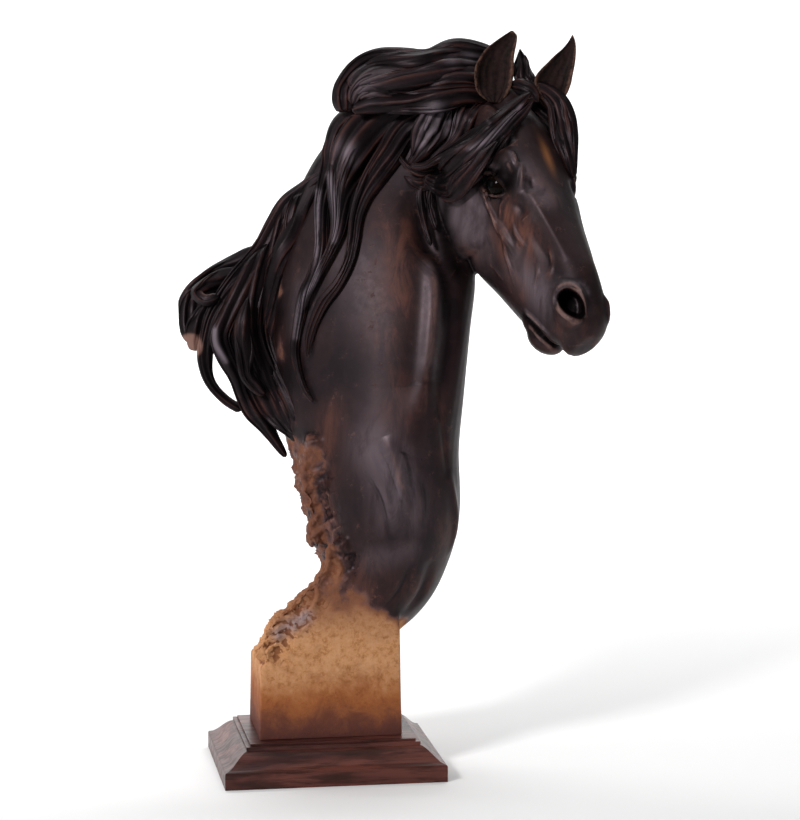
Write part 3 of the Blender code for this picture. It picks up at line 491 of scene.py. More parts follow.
FACE = (
    # along, top, widest line, bottom, half width, squareness above, squareness below
    (-0.03, -0.040, -0.16, -0.280, 0.080, 2.0, 2.0),
    (0.04, 0.000, -0.15, -0.370, 0.110, 2.1, 2.0),
    (0.14, 0.018, -0.14, -0.440, 0.130, 2.2, 2.1),
    (0.26, 0.022, -0.12, -0.490, 0.143, 2.4, 2.2),
    (0.36, 0.012, -0.12, -0.488, 0.143, 2.6, 2.2),
    (0.46, 0.000, -0.14, -0.466, 0.125, 2.6, 2.2),
    (0.57, -0.010, -0.17, -0.428, 0.106, 2.5, 2.2),
    (0.68, -0.016, -0.18, -0.396, 0.092, 2.4, 2.2),
    (0.78, -0.022, -0.17, -0.362, 0.086, 2.2, 2.2),
    (0.86, -0.042, -0.16, -0.318, 0.088, 2.1, 2.1),
    (0.925, -0.066, -0.15, -0.270, 0.083, 2.0, 2.1),
    (0.965, -0.098, -0.16, -0.250, 0.066, 2.0, 2.0),
    (0.990, -0.135, -0.18, -0.230, 0.038, 2.0, 2.0),
)
FACE_SIDES = 36


def face_rings(count):
    rings = []
    around = np.linspace(0, 2 * math.pi, FACE_SIDES, endpoint=False)
    for along, top, middle, bottom, half, square_up, square_down in eased(FACE, count):
        square = np.where(np.sin(around) > 0, square_up, square_down)
        reach = np.where(np.sin(around) > 0, top - middle, middle - bottom)
        out = middle + reach * np.sign(np.sin(around)) * np.abs(np.sin(around)) ** (2 / square)
        side = half * np.sign(np.cos(around)) * np.abs(np.cos(around)) ** (2 / square)
        rings.append(on_head(np.column_stack([np.full_like(out, along), out, side])))
    return rings


def head_ball(centre, radii, lean=0.0, splay=0.0, segments=24):
    """An ellipsoid on the head. Lean turns it in the face's own profile, splay turns it outwards."""
    axes = Matrix(np.array(head_axes()).T.tolist()).to_4x4()
    turn = Matrix.Rotation(math.radians(splay), 4, "Y") @ Matrix.Rotation(math.radians(lean), 4, "Z")
    size = Matrix.Diagonal((*(r * HEAD for r in radii), 1.0))
    return ball(Matrix.Translation(Vector(on_head(centre))) @ axes @ turn @ size, segments)


PAIRED = (
    # centre along, out, aside; radii; lean; splay
    ((0.230, -0.305, 0.078), (0.205, 0.218, 0.060), 0, 0),
    ((0.145, -0.085, 0.100), (0.120, 0.075, 0.045), 0, 0),
    ((0.345, -0.075, 0.112), (0.100, 0.062, 0.042), -20, 12),
    ((0.50, -0.195, 0.088), (0.150, 0.028, 0.034), -3, 10),
    ((0.885, -0.125, 0.050), (0.068, 0.068, 0.028), 35, -8),
    ((0.80, -0.185, 0.052), (0.100, 0.070, 0.036), 0, 0),
)
SINGLE = (
    # the round of the near cheek, the near nostril's wing, and what joins the far cheek to the neck
    ((0.225, -0.308, 0.098), (0.216, 0.230, 0.076), 0, 0),
    ((0.890, -0.125, 0.062), (0.074, 0.074, 0.040), 35, -8),
    ((0.110, -0.250, -0.045), (0.180, 0.190, 0.080), 0, 0),
    ((0.835, -0.330, 0.0), (0.082, 0.050, 0.056), 25, 0),
    ((0.780, -0.330, 0.0), (0.110, 0.042, 0.060), 6, 0),
    ((0.940, -0.180, 0.0), (0.050, 0.088, 0.068), 12, 0),
    ((0.02, -0.020, 0.0), (0.080, 0.040, 0.060), 0, 0),
)


def head_masses():
    made = [loft(face_rings(FACE_RINGS))]
    for (along, out, side), radii, lean, splay in PAIRED:
        made.append(head_ball((along, out, side), radii, lean, splay))
        made.append(head_ball((along, out, -side), radii, lean, -splay))
    for centre, radii, lean, splay in SINGLE:
        made.append(head_ball(centre, radii, lean, splay))
    return made


# Strokes on the head: path along, out and aside; radius; height. They fall on both sides.

FACE_STROKES = (
    # the hollow over the eye and the hollow under its front corner
    (((0.20, -0.030, 0.13), (0.26, -0.010, 0.12)), 0.045, -0.022),
    (((0.44, -0.090, 0.13), (0.52, -0.095, 0.11)), 0.032, -0.012),
    # the socket
    (((0.332, -0.132, 0.167), (0.362, -0.122, 0.167)), 0.060, -0.032),
    # the nasal bone's edge and the hollow below it
    (((0.44, -0.035, 0.10), (0.58, -0.035, 0.085), (0.74, -0.045, 0.06)), 0.025, 0.009),
    (((0.55, -0.10, 0.11), (0.68, -0.105, 0.09), (0.78, -0.10, 0.08)), 0.036, -0.014),
    # the crest of the cheek
    (((0.40, -0.200, 0.145), (0.50, -0.205, 0.125), (0.60, -0.210, 0.10)), 0.024, 0.012),
    # the hollow before the cheek's round plate
    (((0.40, -0.43, 0.12), (0.45, -0.36, 0.13), (0.46, -0.28, 0.13)), 0.034, -0.014),
    # mouth and the groove behind the chin
    (((0.735, -0.330, 0.080), (0.81, -0.305, 0.085), (0.89, -0.282, 0.065),
        (0.975, -0.250, 0.0)), 0.011, -0.042),
    (((0.755, -0.375, 0.05), (0.755, -0.380, 0.0)), 0.020, -0.010),
)

# Finer strokes on the head, as columns and rows of the grid. They fall on both sides.

FINE_STROKES = (
    # the fold over the eye and the marks of the inner brow
    (((479, 178), (484, 170), (491, 166), (500, 166)), 0.012, 0.010),
    (((507, 162), (510, 168), (513, 175)), 0.009, 0.009),
    (((512, 151), (515, 159), (518, 167)), 0.010, 0.011),
    # the ridge beside the nose and the hollow next to it
    (((521, 162), (522, 176), (521, 190)), 0.011, 0.010),
    (((530, 174), (532, 192)), 0.026, -0.010),
    # the lower lid that runs into a vein, and the veins down the cheek
    (((480, 184), (484, 194), (488, 204), (494, 219), (501, 238)), 0.011, 0.012),
    (((508, 194), (502, 205), (500, 219)), 0.009, 0.009),
    (((501, 236), (506, 253), (511, 270), (514, 286)), 0.011, 0.007),
    (((511, 219), (515, 231), (520, 240), (529, 252)), 0.012, 0.007),
    (((549, 248), (553, 261), (549, 276)), 0.014, 0.007),
    (((536, 262), (538, 276), (533, 290)), 0.013, 0.006),
    # the jaw's edge
    (((488, 262), (496, 270), (504, 281)), 0.013, 0.006),
    # the line of the mouth and the lips
    (((525, 316), (533, 325), (543, 335), (555, 345), (566, 353)), 0.010, -0.020),
    (((526, 311), (536, 320), (546, 331)), 0.012, 0.008),
    (((528, 324), (538, 336), (552, 348)), 0.010, 0.008),
)

# Strokes on the body: columns and rows of the grid; radius; height.

BODY_STROKES = (
    # the shadow behind the jaw and the hollow of the throat
    (((418, 190), (420, 212), (426, 238), (438, 258), (454, 272)), 0.060, -0.034),
    # the windpipe's ridge and the channel beside it
    (((428, 250), (433, 284), (431, 330), (426, 376), (418, 420)), 0.042, 0.024),
    (((448, 270), (452, 320), (446, 370), (438, 420)), 0.045, -0.022),
    # the shoulder's soft folds
    (((415, 385), (420, 420), (410, 455)), 0.090, 0.014),
    (((372, 440), (382, 462), (394, 492), (402, 524)), 0.030, -0.008),
    (((386, 436), (396, 464), (405, 500)), 0.028, 0.010),
    (((398, 440), (408, 462), (414, 492)), 0.024, -0.006),
    (((448, 470), (455, 520), (448, 556)), 0.030, 0.012),
    (((430, 560), (424, 590), (404, 614)), 0.030, -0.016),
    # fine lines over the shoulder and the neck
    (((374, 446), (386, 470), (396, 500), (400, 530)), 0.016, 0.005),
    (((394, 470), (404, 492), (412, 520)), 0.016, 0.004),
    (((366, 470), (382, 500), (392, 540)), 0.016, -0.006),
    (((420, 470), (426, 500), (424, 530)), 0.018, -0.006),
    (((436, 400), (444, 440), (448, 480)), 0.020, -0.006),
    (((412, 560), (400, 590), (380, 612)), 0.018, -0.008),
)

# Nostrils: a slanting hole on each side, set out on the grid as the near one is seen.

NOSTRIL_PLACE = (573, 305)
NOSTRIL_SIZE = (12.5, 20.0)
NOSTRIL_SLANT = 38
NOSTRIL_DEPTH = 0.11
NOSTRIL_RIM = 0.012
FAR_NOSTRIL = 0.3
FAR_NARROWER = 1.6
SEPTUM = 0.016


def reflected(points):
    """Points mirrored in the head's middle plane."""
    aside = head_axes()[2]
    away = (points - placed(POLL)) @ aside
    return points - 2 * away[:, None] * aside


def round_nostril(points):
    """How each point lies to the near nostril.

    Gives its distance from the middle, 1 at the edge, its place along the hole, its sight ray, its
    room to the septum and how much it is on the muzzle.
    """
    slant = math.radians(NOSTRIL_SLANT)
    column, row, ray = on_grid(points)
    across, down = column - NOSTRIL_PLACE[0], row - NOSTRIL_PLACE[1]
    wide = (across * math.cos(slant) - down * math.sin(slant)) / NOSTRIL_SIZE[0]
    long = (down * math.cos(slant) + across * math.sin(slant)) / NOSTRIL_SIZE[1]
    # wider at its upper end
    away = np.hypot(wide / (1 - 0.25 * np.clip(long, -1, 1)), long)
    aside = (points - placed(POLL)) @ head_axes()[2] / HEAD
    on_muzzle = step(0.72, 0.76, (points - placed(POLL)) @ head_axes()[0] / HEAD)
    return away, long, ray, np.maximum(aside - SEPTUM, 0), on_muzzle


def nostrils(clay):
    """Press a hole into each side of the muzzle, deep on the near side, and raise a rim round it."""
    for near in (True, False):
        points = clay.points if near else reflected(clay.points)
        away, long, ray, room, on_muzzle = round_nostril(points)
        away = away if near else away * FAR_NARROWER
        sink = np.minimum(NOSTRIL_DEPTH, room / 0.6)
        # the wall slopes in gently at the lower end
        sink *= step(1.0, 0.5, away) * (1 - 0.5 * step(0.1, 0.9, long) * step(0.4, 1.0, away))
        sink *= 1.0 if near else FAR_NOSTRIL
        # the rim fades at its lower end, where the wing runs into the lip
        rim = NOSTRIL_RIM * np.exp(-(((away - 1.18) / 0.15) ** 2)) * (0.1 + 0.9 * step(0.6, -0.3, long))
        rim *= step(0.0, 0.04, room) * near
        points = points + ray * (HEAD * on_muzzle * (sink - rim))[:, None]
        clay.points = points if near else reflected(points)


# Eyes: a ball in each socket and a rim above and below it, given on the head.

EYE_CENTRE = (0.348, -0.128, 0.114)
EYE_RADIUS = 0.05319
EYE_SLANT = 30
LID_LENGTH = 0.070
LIDS = (
    # thickness, rise over the middle of the eye, how far out the lid's middle stands
    (0.010, 0.033, 0.164),
    (0.007, -0.034, 0.158),
)
LID_STEPS = 20
LID_SIDES = 10


def lid(path, thick, facing):
    """A round rim through points, drawn in at both ends."""
    around = np.linspace(0, 2 * math.pi, LID_SIDES, endpoint=False)
    path = eased(path, LID_STEPS)
    rings = []
    for i, (spot, along) in enumerate(zip(path, directions(path))):
        across, out = turned_to(facing, spot, along)
        from_end = min(i, LID_STEPS - 1 - i)
        size = thick * (1.0 if from_end > 2 else math.sin(math.pi * (from_end + 0.6) / 7.2))
        ring = np.cos(around)[:, None] * across + np.sin(around)[:, None] * out
        rings.append(spot + ring * size)
    return loft(rings)


def lids():
    """The rims of both eyes: two arcs from corner to corner on the slant."""
    made = []
    turn = math.radians(EYE_SLANT)
    for side in (1, -1):
        for thick, rise, reach in LIDS:
            path = []
            for a in np.linspace(0, math.pi, 7):
                long, high = LID_LENGTH * math.cos(a), rise * math.sin(a)
                along = EYE_CENTRE[0] + long * math.cos(turn) - high * math.sin(turn)
                out = EYE_CENTRE[1] + long * math.sin(turn) + high * math.cos(turn)
                path.append((along, out, side * (reach - 0.020 * math.cos(a) ** 2)))
            far = on_head((EYE_CENTRE[0], EYE_CENTRE[1], side * 9))
            made.append(lid(on_head(path), thick * HEAD, far))
    return made


def eyeball(side):
    """A ball with a mark that grows from the middle of the pupil."""
    along, out, aside = EYE_CENTRE
    centre = (along, out, side * aside)
    mesh = head_ball(centre, (EYE_RADIUS,) * 3, segments=64)
    gaze = on_head((along, out, side * (aside + 1))) - on_head(centre)
    gaze /= np.linalg.norm(gaze)
    ray = units(read(mesh.vertices, "co").astype(float) - on_head(centre))
    set_mark(mesh, "iris", np.arccos(np.clip(ray @ gaze, -1, 1)))
    mesh.shade_smooth()
    return mesh


# The block and the torn edge between it and the horse.


def block_mesh():
    """The upright block: four walls that lean in a little, its left shoulder broken away on a slope."""
    half, deep = BLOCK_WIDTH / 2, BLOCK_DEPTH / 2
    low = SEAT - BLOCK_BELOW
    shoulder = SEAT + BLOCK_SHOULDER
    top = SEAT + BLOCK_TOP
    inner = -half + (top - shoulder) / math.tan(math.radians(BLOCK_SLOPE))
    outline = (
        (-half, low),
        (half, low),
        (half - BLOCK_LEAN, top - 0.04 * HEAD),
        (half * 0.6, top),
        (inner, top),
        (-half + BLOCK_LEAN * 0.6, shoulder),
    )
    rings = []
    for side in (-1, 1):
        rings.append([(x, side * (deep - BLOCK_LEAN * (z - low) / (top - low)), z) for x, z in outline])
    return loft(rings)


# The torn edge's left outline, and the line where the coat gives way to sand: heights, then
# places across. Broken masses fill the torn edge between the block and the neck.

TORN_HEIGHTS = (0.24, 0.31, 0.41, 0.48, 0.51, 0.59, 0.63, 0.645, 0.72, 0.85, 0.95, 1.05)
TORN_EDGE = (-0.240, -0.222, -0.145, -0.08, -0.055, 0.000, 0.015, -0.050, -0.055, -0.085, -0.075, -0.07)
SAND_HEIGHTS = (0.31, 0.37, 0.41, 0.46, 0.51, 0.58, 0.66, 0.76, 0.86, 0.96, 1.06)
SAND_EDGE = (0.46, 0.34, 0.23, 0.12, 0.08, 0.04, 0.00, -0.01, -0.04, -0.06, -0.16)

# The broken masses: outline as columns and rows of the grid, then depths and how far each is drawn in.

OVERHANG = (
    ((335, 425), (306, 432), (302, 444), (300, 458), (299, 482), (302, 500), (307, 514), (308, 526),
     (307, 535), (311, 542), (322, 546), (333, 541), (350, 536), (362, 500), (362, 460)),
    ((-0.04, 0.16), (0.00, 0.06), (0.06, 0.01), (0.14, 0.0), (0.22, 0.04)),
)
SLOPE = (
    ((352, 532), (333, 538), (330, 550), (329, 561), (326, 569), (318, 573), (316, 582), (309, 584),
     (303, 593), (293, 600), (286, 609), (278, 613), (270, 624), (262, 636), (254, 650), (262, 668),
     (300, 680), (370, 640)),
    ((-0.160, 0.13), (-0.140, 0.05), (-0.06, 0.015), (0.03, 0.0), (0.11, 0.0), (0.16, 0.05)),
)
LEDGE_RISE = 0.015
LUMP_RISE = 0.022
CHIP_RISE = 0.009


def break_masses():
    """The two broken masses between the neck and the block, drawn in at both faces."""
    made = []
    for outline, depths in (OVERHANG, SLOPE):
        middle = np.mean(outline, axis=0)
        rings = []
        for depth, drawn in depths:
            ring = (np.array(outline) - middle) * (1 - drawn) + middle
            rings.append([sighted(column, row, depth) for column, row in ring])
        made.append(loft(rings))
    return made


def from_tear(where):
    """How far each place lies to the right of the torn edge's outline."""
    return where[:, 0] - np.interp(where[:, 2], TORN_HEIGHTS, TORN_EDGE)


def sand_share(where):
    """How sandy the casting is: 1 on the block and the torn edge, 0 on the horse, ragged between."""
    x, z = where[:, 0], where[:, 2]
    wander = np.array([noise.turbulence(Vector(spot) * 9, 4, False) for spot in where])
    reach = np.interp(z, SAND_HEIGHTS, SAND_EDGE) + 0.11 * (wander - 0.42)
    return step(0.11, -0.11, x - reach)


def torn(clay):
    """Break up the skin along the torn edge into slanting ledges, lumps and chips."""
    where = shares_of(clay.points)
    z, inward = where[:, 2], from_tear(where)
    low, high = TORN_HEIGHTS[0], TORN_HEIGHTS[-1]
    weight = faded((0.13, 0.02, inward), (low - 0.01, low + 0.06, z), (high, high - 0.25, z))
    normals = clay.normals()
    for i in np.flatnonzero(weight > 0.01):
        spot = Vector(where[i])
        # ledges run up to the right, as the break does, and split into lumps
        bend = noise.noise(spot * 5) * 2.2 + noise.noise(spot * 13) * 0.8
        level = (spot.z - 0.75 * spot.x) * 13 + spot.y * 4 + bend
        ledge = level - math.floor(level)
        ledge = ledge if ledge < 0.8 else 4 * (1 - ledge)
        lumps = noise.fractal(spot * 14, 1.0, 2.1, 5)
        chips = noise.turbulence(spot * 60, 4, True)
        lift = LEDGE_RISE * (ledge - 0.5) + LUMP_RISE * lumps + CHIP_RISE * (chips - 0.9)
        clay.points[i] += normals[i] * HEAD * weight[i] * lift


# The casting

# What the first rounds of softening spare round the eye and the last ones reach, and the brow.
EYE_SPARED = (0.075, 0.075, 0.12)
EYE_SOFTENED = (0.11, 0.11, 0.14)
BROW = (0.335, -0.035, 0.130)
BROW_SIZE = (0.110, 0.060, 0.110)


def tree_of(clay):
    faces = [tuple(face.vertices) for face in clay.mesh.polygons]
    return BVHTree.FromPolygons([tuple(point) for point in clay.points], faces)


def smooth_joins(skin):
    """Round off the new skin, most where two forms run into each other."""
    where = shares_of(skin.points)
    x, z, inward = where[:, 0], where[:, 2], from_tear(where)
    horse = np.maximum(faded((0.42, 0.52, z), (0.10, 0.20, inward)), step(1.0, 1.1, z))
    skin.soften(6, horse * step(0.7, 1.2, skin.away(EYE_CENTRE, EYE_SPARED)))
    skin.soften(1)
    # the torn edge runs into the neck with no seam
    skin.soften(30, faded((0.02, 0.08, inward), (0.30, 0.18, inward), (0.42, 0.50, z), (1.10, 1.00, z)))
    # the flat side of the neck keeps no ripple
    skin.soften(40, faded((0.42, 0.34, x), (0.10, 0.20, inward), (0.50, 0.62, z), (1.85, 1.70, z)))
    # the brow runs into the face with no edge
    skin.soften(30, step(1.2, 0.6, skin.away(BROW, BROW_SIZE)))
    # the chest runs into the block's front with no edge
    skin.soften(24, faded((0.36, 0.44, z), (0.62, 0.50, z), (0.02, 0.10, x), (0.42, 0.34, x)))


def casting_mesh():
    """The figure and the block in one skin, and a tree of the bare horse that the hair lies on."""
    parts = [loft(neck_rings(NECK_RINGS)), block_mesh()] + head_masses() + lids() + break_masses()
    skin = Clay(fused(parts, BODY_VOXEL))
    smooth_joins(skin)
    local = face_shares(skin.points)
    for path, radius, height in FACE_STROKES:
        skin.stroke(local, path, radius, height)
    skin.store()
    tree = tree_of(skin)
    local = face_shares(skin.points)
    for path, radius, height in FINE_STROKES:
        skin.stroke(local, face_shares(traced(tree, path)), radius, height)
    nostrils(skin)
    skin.store()
    tree = tree_of(skin)
    skin.soften(2, step(1.1, 0.8, skin.away(EYE_CENTRE, EYE_SOFTENED)))
    where = shares_of(skin.points)
    for path, radius, height in BODY_STROKES:
        skin.stroke(where, shares_of(traced(tree, path)), radius, height)
    torn(skin)
    skin.store()
    mesh = thinned(in_one(skin.mesh), SKIN_TRIANGLES)
    cut_level(mesh, SEAT + CUT)
    final = Clay(mesh)
    final.points = inside_box(final.points)
    final.store()
    mark_body(final, tree)
    mesh.shade_smooth()
    keep_corners(mesh)
    return mesh, tree


# Stains and painted light on the figure: paths on the grid, radius, strength. Bloom-and-sheen ones
# have a grey bloom with painted sheen, warm ones show rust and shades are painted shade.

BLOOM_AND_SHEEN = (
    # grey bloom with painted sheen on the lit places of the cheek, the muzzle, the throat, the shoulder
    # and the block's slope
    (((446, 206), (462, 222), (474, 240)), 0.085, 1.0),
    (((470, 196), (478, 210)), 0.040, 0.8),
    (((516, 262), (530, 282), (545, 300)), 0.060, 0.9),
    (((524, 168), (534, 182), (546, 196)), 0.045, 0.8),
    (((431, 270), (432, 310), (427, 360)), 0.032, 0.75),
    (((376, 448), (392, 476), (402, 510)), 0.085, 0.9),
    (((372, 560), (410, 548)), 0.045, 0.4),
    (((305, 290), (300, 330)), 0.05, 0.4),
    (((428, 116), (424, 140)), 0.05, 1.0),
    (((279, 634), (292, 625), (306, 617)), 0.024, 0.8),
    # narrow painted highlights on the folds by the eye, the rim of the nostril and the lip
    (((482, 169), (490, 166), (497, 168)), 0.012, 0.9),
    (((511, 152), (514, 160), (517, 167)), 0.010, 0.9),
    (((521, 168), (522, 178), (521, 189)), 0.012, 1.0),
    (((554, 302), (556, 294), (562, 286), (572, 283), (583, 285), (587, 292)), 0.011, 0.6),
    (((526, 311), (536, 321), (548, 333)), 0.010, 0.7),
)
WARM_STAINS = (
    (((505, 212), (518, 232), (530, 248)), 0.065, 1.0),
    (((495, 235), (508, 262), (520, 292)), 0.040, 0.8),
    (((465, 250), (482, 250)), 0.050, 0.6),
    (((535, 175), (556, 200)), 0.030, 0.3),
    (((560, 330), (585, 335)), 0.050, 0.4),
    (((395, 226), (402, 270), (396, 330)), 0.085, 0.7),
    (((392, 380), (400, 420)), 0.060, 0.4),
    (((330, 420), (322, 470), (326, 520)), 0.060, 0.6),
    (((335, 540), (350, 570), (372, 590)), 0.080, 0.6),
    (((416, 590), (436, 570), (446, 530)), 0.050, 0.7),
    (((440, 400), (446, 450)), 0.040, 0.4),
    # the veins down the cheek
    (((484, 192), (489, 206), (495, 221), (502, 240), (510, 262)), 0.013, 1.0),
    (((507, 195), (501, 207), (500, 219)), 0.011, 1.0),
    (((513, 222), (520, 240), (529, 253)), 0.013, 0.9),
    (((548, 248), (552, 262), (549, 276)), 0.013, 0.8),
)
SHADE_STAINS = (
    # painted shade in the line of the mouth, round the corner of the eye and behind the jaw
    (((524, 315), (533, 325), (543, 335), (555, 345), (567, 354)), 0.014, 1.0),
    (((488, 178), (496, 176), (507, 180)), 0.055, 0.95),
    (((446, 205), (444, 225), (447, 248), (456, 268)), 0.045, 0.9),
    (((436, 250), (444, 285), (446, 320)), 0.030, 0.6),
)

STAIN_AND_LIGHT_STEPS = 12


def stain_and_light_share(shares, tree, rows):
    """How strongly the marks show at each place on the figure: stains, painted sheen and painted shade.
    """
    strength = np.zeros(len(shares))
    for path, radius, most in rows:
        line = eased(shares_of(traced(tree, path)), STAIN_AND_LIGHT_STEPS)
        near = np.min([((shares - spot) ** 2).sum(axis=1) for spot in line], axis=0)
        strength = np.maximum(strength, most * np.exp(-near / radius**2))
    return strength


WORN_ROUNDS = (4, 24)
WORN_PART = 0.28


def worn_share(clay):
    """How far the skin stands out from a smoother one: 0.5 where it is level, more on ridges."""
    normals = clay.normals()
    worn = np.full(len(clay.points), 0.5)
    for rounds in WORN_ROUNDS:
        smooth = Clay(clay.mesh)
        smooth.points = clay.points.copy()
        smooth.soften(rounds)
        out = ((clay.points - smooth.points) * normals).sum(axis=1)
        worn += WORN_PART * np.clip(out / (2.0 * np.std(out) + 1e-9), -1, 1)
    return worn


def mark_body(clay, tree):
    """The marks that the paint reads: what stands out, the height, where each colour lies, and where
    painted shade and painted sheen go.
    """
    where, face = shares_of(clay.points), face_shares(clay.points)
    away, _, _, room, on_muzzle = round_nostril(clay.points)
    # painted shade inside the near nostril
    hollow = step(1.02, 0.72, away) * step(0.0, 0.001, room) * on_muzzle
    streak = np.exp(-((face[:, 2] / 0.015) ** 2) - ((face[:, 0] - 0.325) / 0.060) ** 2)
    marks = {
        "worn": worn_share(clay),
        "sand": sand_share(where),
        "shade": np.maximum(hollow, stain_and_light_share(where, tree, SHADE_STAINS)),
        "height": where[:, 2],
        "bloom_and_sheen": stain_and_light_share(where, tree, BLOOM_AND_SHEEN),
        "warm": stain_and_light_share(where, tree, WARM_STAINS),
        "star": streak * step(-0.08, -0.03, face[:, 1]),
    }
    for name, values in marks.items():
        set_mark(clay.mesh, name, values)


# Hair: each lock has its thickness as a share of its width, its lift off the body, and a path of
# column, row, half width and, where it is clear of the body, its depth.

